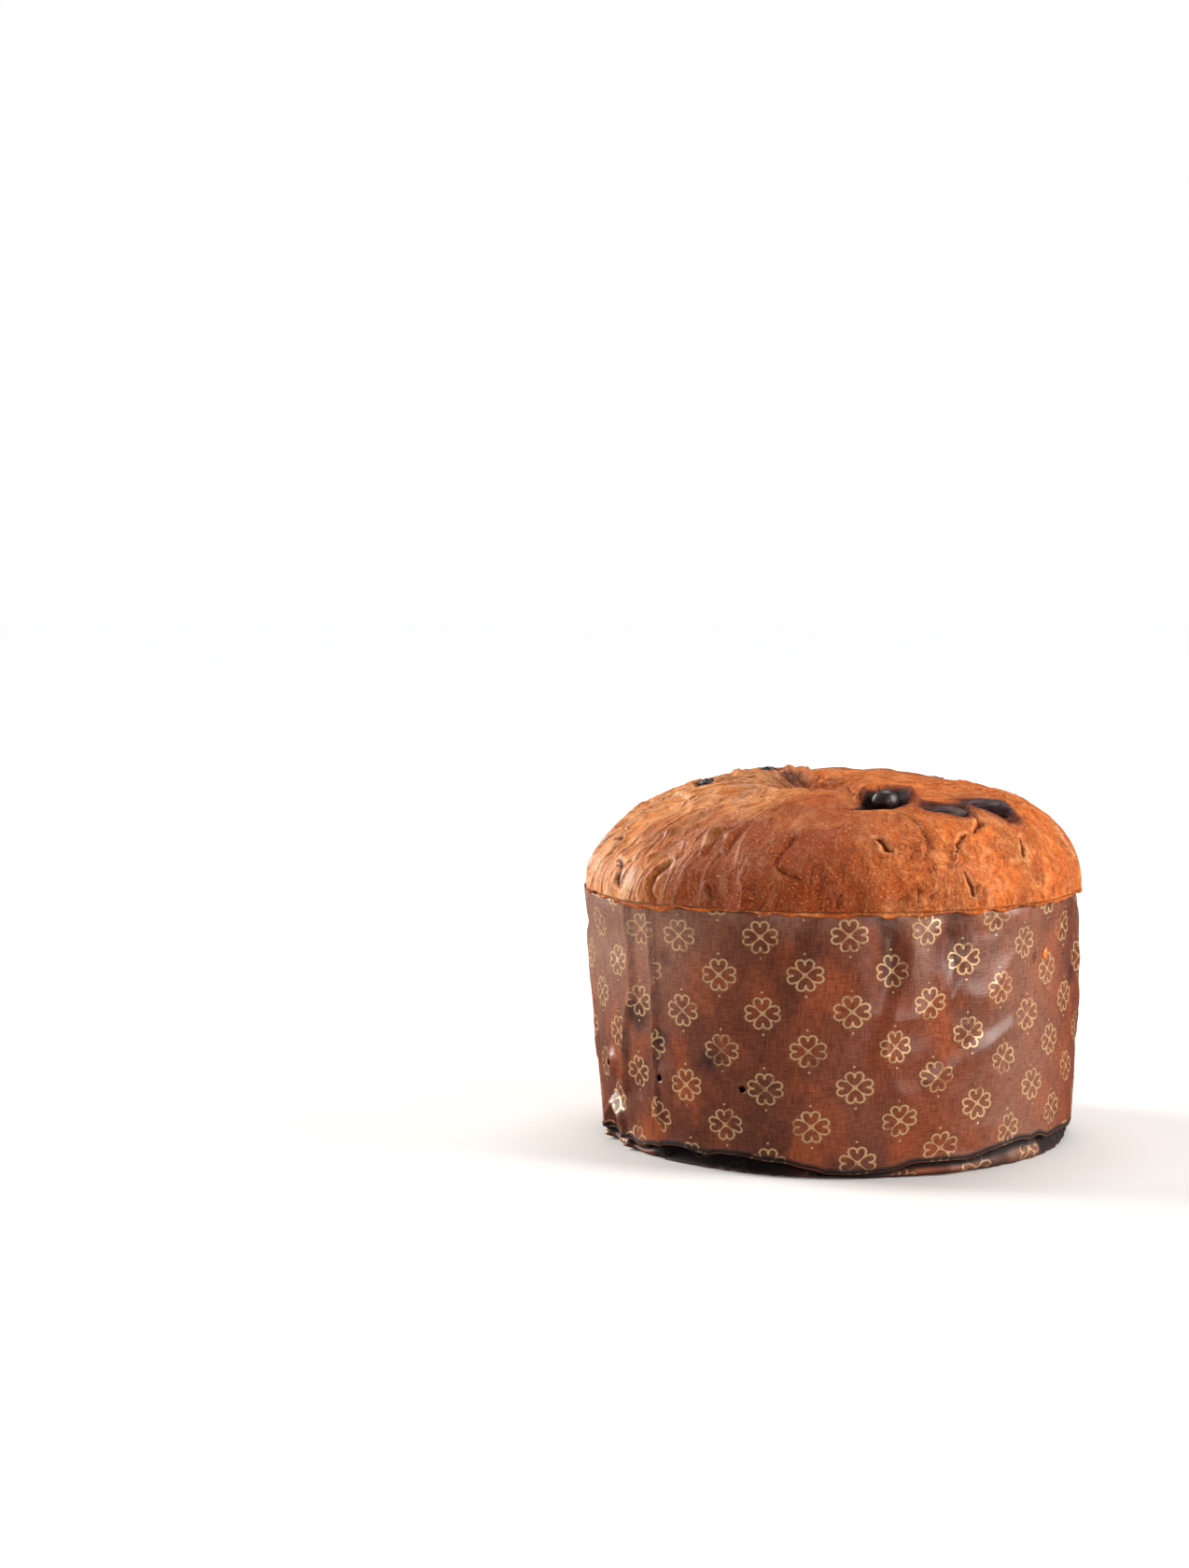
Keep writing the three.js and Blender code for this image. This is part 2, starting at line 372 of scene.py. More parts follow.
def new_group(name, inputs, outputs):
    """An empty node group, with its own input and output nodes."""
    tree = bpy.data.node_groups.new(name, "ShaderNodeTree")
    for label, kind, default in inputs:
        socket = tree.interface.new_socket(label, in_out="INPUT", socket_type="NodeSocket" + kind)
        if default is not None:
            socket.default_value = default
    for label, kind in outputs:
        tree.interface.new_socket(label, in_out="OUTPUT", socket_type="NodeSocket" + kind)
    return tree, tree.nodes.new("NodeGroupInput"), tree.nodes.new("NodeGroupOutput")


def use_group(tree, group, inputs):
    """A group placed in a tree."""
    return node(tree, "Group", inputs, node_tree=group).outputs


def new_finish(name, **settings):
    """A material with its Principled shader, whose plain settings are put straight on the shader."""
    material = bpy.data.materials.new(name)
    material.use_nodes = True
    shader = material.node_tree.nodes["Principled BSDF"]
    for key, value in settings.items():
        shader.inputs[key.replace("_", " ")].default_value = value
    return material, material.node_tree, shader


def raise_surface(tree, shader, height, distance, strength=1.0):
    """Feeds a height, in shares of distance in millimetres, to the shader's normal."""
    inputs = {"Height": height, "Distance": distance * MM, "Strength": strength}
    feed(tree, shader, {"Normal": node(tree, "Bump", inputs).outputs["Normal"]})


# ---------------------------------------------------------------- shader groups


def mottle_group():
    """Soft blotches broken by finer specks: coarse noise with a third of fine noise added to it."""
    tree, given, out = new_group(
        "mottle", [("Vector", "Vector", None), ("Size", "Float", 10.0)], [("Value", "Float")]
    )
    scale = calc(tree, "DIVIDE", 1.0, given.outputs["Size"])
    coarse = grain(tree, given.outputs["Vector"], scale, detail=3.0, roughness=0.55)
    fine = grain(tree, given.outputs["Vector"], calc(tree, "MULTIPLY", scale, 7.0), detail=2.0)
    both = calc(tree, "MULTIPLY_ADD", calc(tree, "SUBTRACT", fine, 0.5), 0.35, coarse)
    feed(tree, out, {"Value": both})
    return tree


def linen_group():
    """The paper's embossed linen: noise drawn out along each of two thread directions."""
    tree, given, out = new_group(
        "linen",
        [("Vector", "Vector", None), ("Thread", "Float", 0.6)],
        [("Height", "Float"), ("Weave", "Float")],
    )
    per_thread = calc(tree, "DIVIDE", 1.0, given.outputs["Thread"])
    across = grain(tree, stretched(tree, given.outputs["Vector"], (0.14, 1.0, 1.0)), per_thread, 1.0)
    upward = grain(tree, stretched(tree, given.outputs["Vector"], (1.0, 0.12, 1.0)), per_thread, 1.0)
    slubs = grain(tree, given.outputs["Vector"], calc(tree, "MULTIPLY", per_thread, 1.3), 1.0)
    height = calc(tree, "MULTIPLY", calc(tree, "ADD", across, upward), 0.5)
    weave = calc(tree, "MULTIPLY_ADD", slubs, 0.3, calc(tree, "SUBTRACT", height, 0.15))
    feed(tree, out, {"Height": height, "Weave": fade(tree, weave, 0.36, 0.64)})
    return tree


def to_stroke(tree, point, start, end):
    """Distance from a point to a straight stroke."""
    length = math.dist(start, end)
    along = tuple((b - a) / length for a, b in zip(start, end))
    away = vector_calc(tree, "SUBTRACT", point, (*start, 0))
    reach = vector_calc(tree, "DOT_PRODUCT", away, (*along, 0))
    reach = calc(tree, "MINIMUM", calc(tree, "MAXIMUM", reach, 0.0), length)
    foot = node(tree, "VectorMath", {0: (*along, 0), "Scale": reach}, operation="SCALE").outputs[0]
    return vector_calc(tree, "DISTANCE", away, foot)


def ornament_group():
    """A small ornament of four hearts repeated on a diamond lattice.

    The hearts are drawn once for an eighth of a turn, after the place is folded over both axes and
    the diagonal: a shallow arc up the heart's side, a ring round its lobe, and a bead in its notch.
    Fine whiskers lie between the hearts, and a dot stands above and below.
    """
    tree, given, out = new_group(
        "ornament",
        [("Vector", "Vector", None), ("Column", "Float", 14.8), ("Row", "Float", 25.1)],
        [("Mask", "Float")],
    )
    place = node(tree, "SeparateXYZ", {0: given.outputs["Vector"]}).outputs
    column_width, row_height = given.outputs["Column"], given.outputs["Row"]
    column = calc(tree, "ROUND", calc(tree, "DIVIDE", place["X"], column_width))
    x = calc(tree, "SUBTRACT", place["X"], calc(tree, "MULTIPLY", column, column_width))
    step = calc(tree, "MULTIPLY", calc(tree, "FLOORED_MODULO", column, 2.0), 0.5)
    raised = calc(tree, "SUBTRACT", calc(tree, "DIVIDE", place["Y"], row_height), step)
    row = calc(tree, "ROUND", raised)
    y = calc(tree, "MULTIPLY", calc(tree, "SUBTRACT", raised, row), row_height)
    x = calc(tree, "ABSOLUTE", calc(tree, "MULTIPLY", x, 0.86))
    y = calc(tree, "ABSOLUTE", y)
    across, along = calc(tree, "MINIMUM", x, y), calc(tree, "MAXIMUM", x, y)
    folded = node(tree, "CombineXYZ", {"X": across, "Y": along}).outputs[0]
    upright = node(tree, "CombineXYZ", {"X": x, "Y": y}).outputs[0]

    def off_circle(middle, radius):
        """Distance from a circle."""
        gap = vector_calc(tree, "DISTANCE", folded, (*middle, 0))
        return calc(tree, "ABSOLUTE", calc(tree, "SUBTRACT", gap, radius))

    def beyond(level, above):
        """How far the place lies on the wrong side of a level."""
        order = (level, along) if above else (along, level)
        return calc(tree, "MAXIMUM", calc(tree, "SUBTRACT", *order), 0.0)

    side = calc(tree, "ADD", off_circle((-1.18, 3.85), 3.68), beyond(3.85, False))
    lobe = calc(tree, "ADD", off_circle((1.3, 3.85), 1.2), beyond(3.7, True))
    heart = calc(tree, "SUBTRACT", calc(tree, "MINIMUM", side, lobe), 0.28)
    bead = calc(tree, "SUBTRACT", vector_calc(tree, "DISTANCE", folded, (0, 3.5, 0)), 0.36)
    dot = calc(tree, "SUBTRACT", vector_calc(tree, "DISTANCE", upright, (0, 7.0, 0)), 0.36)
    nearest = calc(tree, "MINIMUM", heart, calc(tree, "MINIMUM", bead, dot))
    whisker = calc(tree, "SUBTRACT", to_stroke(tree, folded, (2.35, 2.7), (2.95, 3.9)), 0.08)
    bold = fade(tree, nearest, -0.12, 0.14, 1.0, 0.0)
    fine = fade(tree, whisker, -0.08, 0.14, 0.75, 0.0)
    feed(tree, out, {"Mask": calc(tree, "MAXIMUM", bold, fine)})
    return tree


GROUPS = {}


def group(name):
    """A shader group, built the first time that it is asked for."""
    makers = {"mottle": mottle_group, "linen": linen_group, "ornament": ornament_group}
    if name not in GROUPS:
        GROUPS[name] = makers[name]()
    return GROUPS[name]


def folded_noise(tree, vector, scale, distortion):
    """Noise folded over at its middle: 1 along thin winding lines, 0 between them."""
    value = grain(tree, vector, scale, 2.0, 0.55, distortion)
    away = calc(tree, "ABSOLUTE", calc(tree, "SUBTRACT", value, 0.5))
    return calc(tree, "MULTIPLY_ADD", away, -7.0, 1.0, clamp=True)


def mottle(tree, vector, size):
    """Blotches of a size in millimetres."""
    return use_group(tree, group("mottle"), {"Vector": vector, "Size": size})["Value"]


# ---------------------------------------------------------------- the loaf

DOME_ROWS = 128
LIP_ROWS = 8
SIDE_ROWS = 32
LOAF_COLUMNS = 552
DIMPLE = (-10.0, -2.0)  # on the flattened crust
BURNT_TOP = ((-17.0, 6.0), (13.0, 6.0))  # middle and spread of a burnt patch behind the dimple
STRETCHED = math.radians(195)  # the way from the dimple in which the skin is stretched most
TANNED_AND_SHADED, PALE_AND_LIT = math.radians(252), math.radians(305)  # bearings of the side darkened by tan and painted shade, and of the palest, lit side
EDGE_RUN = 101  # the run where the crust meets the paper

# The open hollow, torn from the front raisin on: bearing and run along it, and its half-widths.
TEAR = ((283, 49.5), (277, 50), (270.5, 50.5))
TEAR_WIDTHS = (6.6, 4.6, 2.4, 0.7)

# Splits in the skin: bearing and run along each, half-width, depth.
CRACKS = (
    (((279.8, 68.4), (280.7, 69.5)), 1.15, 1.0),
    (((278.9, 75.3), (280.9, 76.7), (281.9, 80.5), (282.8, 81.6)), 1.15, 1.5),
    (((284.2, 81.2), (285.8, 83.7)), 1.1, 1.1),
    (((316.0, 60.1), (314.5, 69.2), (311.5, 72.0), (308.0, 75.4)), 1.1, 1.7),
    (((305.9, 74.2), (303.1, 76.9), (299.5, 83.5)), 1.1, 1.3),
    (((327.9, 51.7), (322.0, 55.0), (316.5, 59.0)), 1.2, 1.2),
    (((325.1, 76.8), (322.7, 81.6), (321.4, 85.5), (320.3, 87.5)), 1.1, 1.2),
    (((300.8, 89.0), (301.1, 93.0), (302.1, 98.0)), 1.1, 1.3),
    (((195.5, 78.3), (201.5, 84.3), (203.4, 88.8), (204.7, 92.0)), 1.2, 1.5),
    (((209.8, 89.5), (214.3, 92.5), (215.2, 96.2), (216.5, 99.5)), 1.2, 1.4),
    (((141.0, 24.7), (137.3, 21.7), (146.0, 15.5)), 1.6, 1.3),
    (((98, 70), (101, 77), (99, 86)), 1.2, 1.3),
    (((60, 74), (64, 80), (62, 87)), 1.15, 1.2),
    (((140, 80), (143, 88)), 1.15, 1.1),
    (((20, 82), (17, 91)), 1.15, 1.1),
    (((352, 78), (349, 86), (352, 92)), 1.15, 1.1),
    (((118, 88), (121, 96)), 1.2, 1.2),
)

# Shallow creases, where the skin was drawn in: bearing and run along each, half-width, depth.
CREASES = (
    (((288.6, 57.0), (290.6, 61.8), (293.2, 66.5), (293.6, 75.8), (292.6, 80.2), (290.4, 84.0)), 1.1, 0.9),
    (((186.3, 62.0), (190.6, 72.1), (194.0, 79.0)), 1.3, 1.0),
    (((262.4, 92.3), (258.7, 91.0), (255.7, 87.6), (255.8, 83.7), (256.9, 79.7), (259.2, 75.8)), 0.8, 0.55),
    (((266.0, 73.0), (268.7, 71.6), (271.5, 69.0)), 0.9, 0.4),
    (((327.8, 84.3), (326.3, 89.5)), 1.15, 0.7),
    (((288.5, 95.0), (288.2, 101.0)), 1.0, 0.9),
    (((304.6, 95.0), (304.3, 101.0)), 1.0, 0.9),
    (((312.0, 96.5), (312.9, 101.5)), 1.15, 0.8),
    (((156.1, 35.5), (174.0, 29.0), (190.0, 22.0)), 1.5, 0.9),
    (((161.7, 13.5), (120.4, 12.5), (73.7, 13.0)), 1.1, 0.5),
    (((209.4, 38.3), (202.7, 48.5), (196.6, 58.0)), 1.2, 0.8),
    (((280, 20), (281, 33), (279, 43)), 1.0, 0.4),
    (((330, 19), (322, 30), (312, 43)), 1.0, 0.35),
    (((229, 88), (226, 95), (227, 101)), 1.2, 0.8),
    (((240, 95), (241, 101)), 1.0, 0.9),
    (((271, 96), (270, 101)), 1.0, 0.8),
    (((20, 20), (12, 44), (2, 66)), 1.1, 0.5),
    (((80, 22), (68, 46), (60, 66)), 1.1, 0.6),
    (((120, 24), (118, 48), (124, 76)), 1.2, 0.7),
    (((45, 60), (38, 76), (42, 92)), 1.1, 0.6),
    (((160, 50), (166, 72), (172, 92)), 1.2, 0.7),
)

# Raised folds of slack skin: bearing and run along each, half-width, height.
RIDGES = (
    (((217.0, 88.0), (220.7, 73.6), (223.6, 64.4), (227.0, 57.8), (230.4, 46.0)), 1.6, 1.1),
    (((228.0, 71.3), (225.4, 78.1), (222.7, 85.9), (221.5, 89.1)), 1.3, 0.8),
    (((236.3, 84.7), (235.3, 76.8), (237.4, 71.8)), 1.2, 1.2),
    (((241.6, 83.5), (240.9, 75.8), (243.8, 70.5), (247.2, 64.0)), 1.2, 1.1),
    (((251.4, 67.0), (251.0, 58.3), (248.7, 44.1)), 1.2, 0.9),
    (((224.5, 95.0), (227.1, 88.9), (230.8, 83.8)), 1.2, 0.6),
    (((186.6, 56.0), (202.7, 52.5), (211.0, 42.3), (226.7, 31.5)), 1.6, 0.9),
    (((206.8, 60.0), (217.6, 49.5), (225.6, 37.7)), 1.5, 0.9),
    (((178.0, 60.0), (184.0, 73.0), (190.0, 84.0), (193.0, 95.0)), 1.8, 1.0),
    (((150.0, 42.0), (168.0, 36.0), (186.0, 28.0)), 1.4, 0.9),
    (((316.0, 66.0), (312.0, 70.0), (307.6, 73.4)), 1.0, 0.7),
    (((303.6, 90.0), (303.9, 95.0), (303.7, 99.0)), 0.9, 0.6),
    (((286.5, 94.0), (286.2, 101.0)), 0.9, 0.6),
    (((150, 56), (155, 74), (163, 92)), 1.6, 1.0),
    (((70, 40), (58, 62), (52, 84)), 1.6, 0.9),
    (((108, 36), (110, 58), (104, 80)), 1.6, 0.9),
    (((0, 40), (352, 60), (345, 78)), 1.5, 0.7),
    (((30, 50), (24, 70), (28, 90)), 1.5, 0.8),
)


def dome_profile():
    """Run, radius and height down the dome: a superellipse, measured off by length."""
    lift = np.linspace(math.pi / 2, 0, 2000)
    radius = DOME_RADIUS * np.cos(lift) ** (2 / DOME_ROUNDNESS)
    height = RIM + LEDGE + (DOME_RISE - LEDGE) * np.sin(lift) ** (2 / DOME_CROWN)
    radius[0] = 0.0
    steps = np.hypot(np.diff(radius), np.diff(height))
    return np.concatenate([[0.0], np.cumsum(steps)]), radius, height


DOME_RUN, DOME_RADII, DOME_HEIGHTS = dome_profile()


def flat_place(x, y):
    """Where a place of the dome lies on the flattened crust: the same bearing, the run as radius."""
    radius = np.hypot(x, y)
    run = np.interp(radius, DOME_RADII, DOME_RUN)
    return x * run / max(radius, 1e-6), y * run / max(radius, 1e-6)


def crust_bump(x, y):
    """Sum of the part's swellings and hollows of the crust, each a bell curve."""
    bumps = (h * bell(x, bx, sx) * bell(y, by, sy) for bx, by, sx, sy, h in CRUST_BUMPS)
    return sum(bumps)


def crumb_radius(z):
    """The loaf's radius inside the mould: a shallow barrel."""
    return CRUMB_RADIUS + BARREL * np.sin(math.pi * np.clip(z / RIM, 0, 1))


def flare(bearing, z):
    """How far the band leans out: a cubed cosine about one side, growing upwards."""
    facing = np.clip(np.cos(bearing - FLARE_BEARING), 0, 1)
    return FLARE * facing**3 * np.clip(z / RIM, 0, 1) ** FLARE_POWER


def bulge(bearing, share):
    """How far the crust swells out over the flare, given its height as a share of the dome's."""
    facing = np.clip(np.cos(bearing - BULGE_BEARING), 0, 1)
    return BULGE * facing**5 * (1 - smooth(0.1, 0.65, share))


def raisin_places():
    """Centre of each raisin on the loaf's axis, from its CAD node."""
    return {name: sum(node_box(name)) / 2 - AXIS for name in RAISINS}


def along_paths(x, y, points, paths, wobble, end):
    """How near each place lies to any of some paths: 1 on a path, 0 away from it, and its height.

    The edges wander by wobble, and a path narrows to a share, end, of its width at its two ends.
    The last result is the distance to the nearest path, in shares of its half-width, up to 4.
    """
    near, total, rim, nearest = 0.0, 0.0, 0.0, 4.0
    x, y = x + wobble * noise(points, 2.8, 22), y + wobble * noise(points, 3.1, 23)
    for places, half_width, depth in paths:
        path = [laid_flat(*place) for place in places]
        widths = [end * half_width, *[half_width] * (len(path) - 2), end * half_width]
        gap = from_path(x, y, path, widths)
        near = np.maximum(near, np.exp(-(gap**2)))
        total = total + depth * np.exp(-(gap**2) * 0.8)
        rim = rim + depth * bell(gap, 2.2, 0.6)
        nearest = np.minimum(nearest, gap)
    return near, total, rim, nearest


def from_dimple(x, y):
    """Distance and bearing of places on the flattened crust from its dimple."""
    x, y = x - DIMPLE[0], y - DIMPLE[1]
    return np.hypot(x, y), np.arctan2(y, x)


def round_raisins(x, y, points, height, burn_and_shade, shade):
    """Adds a hollow, a raised lip, a scorched edge and a ring of painted shade round each raisin."""
    for name, (x0, y0, _) in raisin_places().items():
        half, heading, _, _ = RAISINS[name]
        lip, spread, scorch = (0.35, 2.7, 0.85) if name in CHARRED else (0.7, 1.5, 0.6)
        if name == "raisin_front":
            lip = 0.0
        cx, cy = flat_place(x0, y0)
        turn = math.radians(heading)
        reach = 0.62 * half[0]
        half_x, half_y = reach * math.cos(turn), reach * math.sin(turn)
        ends = ((cx - half_x, cy - half_y), (cx + half_x, cy + half_y))
        gap = from_path(x + 0.6 * noise(points, 3, 24), y, ends, [half[1] * 1.05] * 2)
        height = height - 1.3 * (1 - smooth(0.7, 1.2, gap)) + lip * bell(gap, 1.6, 0.3)
        burn_and_shade = burn_and_shade + (1 - smooth(0.8, spread, gap)) * scorch
        shade = shade + 0.8 * bell(gap, 1.05, 0.2)
    return height, burn_and_shade, shade


def torn_open(x, y, points, height, burn_and_shade, shade):
    """Adds the open hollow at the front raisin, with a lip behind it and a sag in front of it, and darkens
    the hollow with painted shade through both the shade and the burn marks.
    """
    front = flat_place(*raisin_places()["raisin_front"][:2])
    tear = [front, *(laid_flat(*place) for place in TEAR)]
    gap = from_path(x + 0.7 * noise(points, 4, 41), y, tear, TEAR_WIDTHS)
    behind = smooth(-1.5, 1.5, y - front[1])
    height = height - 4.4 * (1 - smooth(0.5, 1.0, gap)) + 4.0 * behind * bell(gap, 1.32, 0.26)
    height = height - 2.6 * bell(x, front[0] - 4, 10.0) * bell(y, front[1] - 6.0, 4.5) * (1 - behind)
    shade = shade + 1.3 * (1 - smooth(0.6, 1.08, gap))
    # Painted shade: the hollow's walls are made near black through the burn mark.
    burn_and_shade = burn_and_shade + 1.2 * (1 - smooth(0.65, 1.25, gap))
    return height, burn_and_shade, shade


def crust_relief(bearing, run, points):
    """Height of the crust's own detail, and how burnt, creased, stretched and tanned it is, where the burn
    also paints shade in the open hollow, the tan also paints shade on the front-left, and a shade mark paints
    shade in folds, creases, splits and hollows.

    The detail is the sum of broad lumps, ridged noise drawn out along the stretch of the skin,
    raised folds, creases, splits, a hollow round each raisin, the open hollow at the front, and
    pleats above the paper's edge.
    """
    x, y = run * np.cos(bearing), run * np.sin(bearing)
    away, angle = from_dimple(x, y)
    leftward = np.cos(turned_by(angle, STRETCHED))
    stretch = 0.2 + 0.8 * smooth(0.0, 0.85, leftward) + 0.35 * smooth(0.2, 0.9, np.sin(angle))
    stretch = np.clip(stretch * smooth(2, 20, away), 0, 1)
    warped = points + 3.5 * stack(*(noise(points, 13, 60 + k) for k in range(3)))
    flow = flow_of(bearing, run) + 1.2 * noise(points, 15, 64)[..., None]

    long_folds = 1 - 2 * np.abs(noise(flow, 10.5, 5))
    short_folds = 1 - 2 * np.abs(noise(flow * (1, 1, 1.6), 5.2, 6))
    crumples = 1 - 2 * np.abs(fractal(warped, 15.0, 2, 8))
    dents = noise(warped, 6.0, 9)
    height = stretch * (1.2 * long_folds + 0.6 * short_folds)
    height = height + (1.1 - stretch) * 0.6 * crumples + 0.26 * dents
    height = height + 1.0 * fractal(points, 26, 2, 11) - 0.25 * smooth(0.45, 0.8, noise(points, 3.0, 13))
    shade = stretch * (0.3 * smooth(0.2, -0.7, long_folds) + 0.15 * smooth(0.1, -0.8, short_folds))
    shade = shade + (1 - stretch) * 0.2 * smooth(0.2, -0.4, crumples)

    gathers = noise(polar(4.5, angle + 0.12 * noise(points, 9, 7), away / 40), 1, 8)
    gathers = 1.2 * (1 - 2.4 * np.abs(gathers)) * smooth(2, 9, away) * (1 - smooth(15, 36, away))
    height = height + gathers
    shade = shade + 0.6 * smooth(0.2, -0.8, gathers)

    near, total, rim, crease = along_paths(x, y, points, CREASES, 0.9, 0.5)
    height, shade = height - total + 0.45 * rim, shade + 0.45 * near
    near, total, rim, _ = along_paths(x, y, points, RIDGES, 0.9, 0.5)
    height, shade = height + 1.2 * total - 0.35 * rim, shade * (1 - 0.8 * near)
    near, total, rim, split = along_paths(x, y, points, CRACKS, 0.8, 0.3)
    height, shade = height - 0.95 * total + 0.45 * rim, shade + 0.5 * near

    burn_and_shade = 0.5 * smooth(0.2, 0.8, noise(points, 17, 31)) * smooth(70, 20, run)
    burn_and_shade = burn_and_shade + 0.7 * bell(x, *BURNT_TOP[0]) * bell(y, *BURNT_TOP[1]) + 0.35 * bell(away, 5, 5)
    height, burn_and_shade, shade = round_raisins(x, y, points, height, burn_and_shade, shade)
    height, burn_and_shade, shade = torn_open(x, y, points, height, burn_and_shade, shade)

    pleats = noise(polar(13, bearing, run / 60), 1, 51)
    height = height + 0.8 * pleats * smooth(84, EDGE_RUN, run)
    shade = shade + 0.35 * smooth(0.1, -0.6, pleats) * smooth(88, EDGE_RUN, run)
    # The tan is partly a deeper bake and partly painted shade, which darkens the front-left and spares the
    # lit right.
    tan = 0.85 * bell(turned_by(bearing, TANNED_AND_SHADED), 0, 0.38) * smooth(35, 78, run)
    pale_lit_side = bell(turned_by(bearing, PALE_AND_LIT), 0, 0.55)
    tan = tan + 0.7 * smooth(0.0, 0.7, noise(points, 42, 77)) * (1 - pale_lit_side) + 0.2 * noise(points, 9, 78)
    marks = {"burn_and_shade": np.clip(burn_and_shade, 0, 1.3), "shade": np.clip(shade, 0, 1.3), "stretch": stretch}
    return height, marks | {"tan": np.clip(tan, 0, 1), "crease": crease, "split": split}


def flow_of(bearing, run):
    """Coordinates that follow the stretch of the skin: round the dimple closely, outwards slowly."""
    away, angle = from_dimple(run * np.cos(bearing), run * np.sin(bearing))
    return polar(50, angle + 0.22 * np.log((away + 4) / 40), away * 0.22)


def skewer_bearings():
    """Bearings of the six skewer holes: each pin's line met with the mould's circle."""
    found = []
    for step in (-1, 0, 1):
        lean = math.asin(step * SKEWER_PITCH / CRUMB_RADIUS)
        found += [SKEWER_HEADING - lean, SKEWER_HEADING + math.pi + lean]
    return found


def hole_places(start, radius):
    """Arc and height of each skewer hole, where the arc begins at a bearing."""
    return [((hole - start) % (2 * math.pi) * radius, SKEWER_HEIGHT) for hole in skewer_bearings()]


def ringed_grid(arc, z, around, holes, reach):
    """Moves grid places so that a square of cells becomes a round hole.

    Round each hole, a place's ring is the larger of its two steps from the middle. The hole's last
    ring moves on to a circle of the hole's radius, and the move fades out to nothing at the ring
    number reach. The grid closes round after the arc named around. Returns the moved arc and
    height, and the place's ring.
    """
    rows, columns = arc.shape
    row_of, column_of = np.meshgrid(np.arange(rows), np.arange(columns), indexing="ij")
    ring = np.full(arc.shape, FAR)
    for hole_arc, hole_z in holes:
        column = int(np.argmin(np.abs(arc[0] - hole_arc)))
        row = int(np.argmin(np.abs(z[:, column] - hole_z)))
        right = (column_of - column + columns // 2) % columns - columns // 2
        down = row_of - row
        here = np.maximum(np.abs(right), np.abs(down))
        angle = np.arctan2(-down, right)
        size = HOLE_RADIUS * here / HOLE_RINGS
        share = 1 - smooth(HOLE_RINGS, reach, here)
        near = here <= reach
        step = turned_by(hole_arc + size * np.cos(angle), arc, around)
        arc = np.where(near, arc + share * step, arc)
        z = np.where(near, z + share * (hole_z + size * np.sin(angle) - z), z)
        ring = np.minimum(ring, here)
    return arc, z, ring


def loaf_rows(bearing):
    """The loaf's rows from the top of the dome to the middle of its underside."""
    run = np.linspace(0, DOME_RUN[-1], DOME_ROWS + 1)[1:, None]
    radius = np.interp(run, DOME_RUN, DOME_RADII)
    height = np.interp(run, DOME_RUN, DOME_HEIGHTS)
    share = (height - RIM - LEDGE) / (DOME_RISE - LEDGE)
    radius = radius + bulge(bearing, share)
    points = polar(radius, bearing, height)
    points[..., 2] += crust_bump(points[..., 0], points[..., 1]) * np.clip(2 * share, 0, 1)
    relief, marks = crust_relief(bearing, run + 0 * bearing, points)
    dome = points + grid_normals(points) * relief[..., None]
    return dome, marks, run + 0 * bearing


def lip_rows(bearing, edge):
    """The crust's rolled edge, from the dome's last row, over the paper's top edge, to the crumb.

    The skin goes on straight down, and turns in under itself along a wavy line. It hangs over the
    paper by a millimetre where it reaches past it, and sits inside it where it doesn't.
    """
    out = np.hypot(edge[:, 0], edge[:, 1])
    round_it = polar(1, bearing)
    wave = noise(round_it * 15, 1, 61) + 0.5 * noise(round_it * 33, 1, 62)
    crumb = CRUMB_RADIUS + CRUMB_FOLLOWS * flare(bearing, RIM)
    paper = CRUMB_RADIUS + GAP + PAPER + flare(bearing, RIM)
    over = smooth(0.0, 0.9, out - paper)
    hang = over * (1.1 + 0.9 * wave)
    bottom = RIM + GAP + 0.15 - hang
    inner = np.minimum(np.where(hang > 0.1, paper + 0.12, paper), out - 0.3)
    top = edge[:, 2]
    return rings(
        bearing,
        (out + 0.1, top - 0.4 * (top - bottom)),
        (out, top - 0.75 * (top - bottom)),
        (out - 0.3 * (out - inner), bottom + 0.12),
        (out - 0.6 * (out - inner), bottom),
        (inner, bottom + 0.1),
        (inner, bottom + 0.5 * hang + 0.1),
        (inner - 0.1, RIM + GAP + 0.15),
        (crumb + 0.1, RIM + GAP),
    )


def side_rows(bearing):
    """The crumb against the paper, with a pit behind each skewer hole."""
    z = np.linspace(RIM - 1, 7, SIDE_ROWS)[:, None] + 0 * bearing
    arc = bearing * CRUMB_RADIUS + 0 * z
    holes = hole_places(0, CRUMB_RADIUS)
    arc, z, ring = ringed_grid(arc, z, 2 * math.pi * CRUMB_RADIUS, holes, 5)
    depth = SKEWER_PIT * (1 - np.clip(ring / HOLE_RINGS, 0, 1) ** 4)
    texture = 0.25 * (noise(stack(arc, z, 0), 3, 71) - 1)
    drawn_in = 2.5 * smooth(RIM - 2, RIM - 10, z) + 2.4 * smooth(11, 7.5, z)
    turn = arc / CRUMB_RADIUS
    radius = crumb_radius(z) + CRUMB_FOLLOWS * flare(turn, z) - drawn_in - depth + texture
    return polar(radius, turn, z)


def base_rows(bearing):
    """The underside: in from the foot, over the hem's step, to the flat middle on the disc."""
    floor = PAPER + GAP
    over_hem = floor + PAPER + GAP
    return rings(
        bearing,
        (77.2, 6.3),
        (75.8, 5.4),
        (74.0, 3.2),
        (72.5, over_hem),
        (HEM_INNER_RADIUS - 0.5, over_hem),
        (HEM_INNER_RADIUS - 2.5, floor),
        (40.0, floor),
        (15.0, floor),
    )


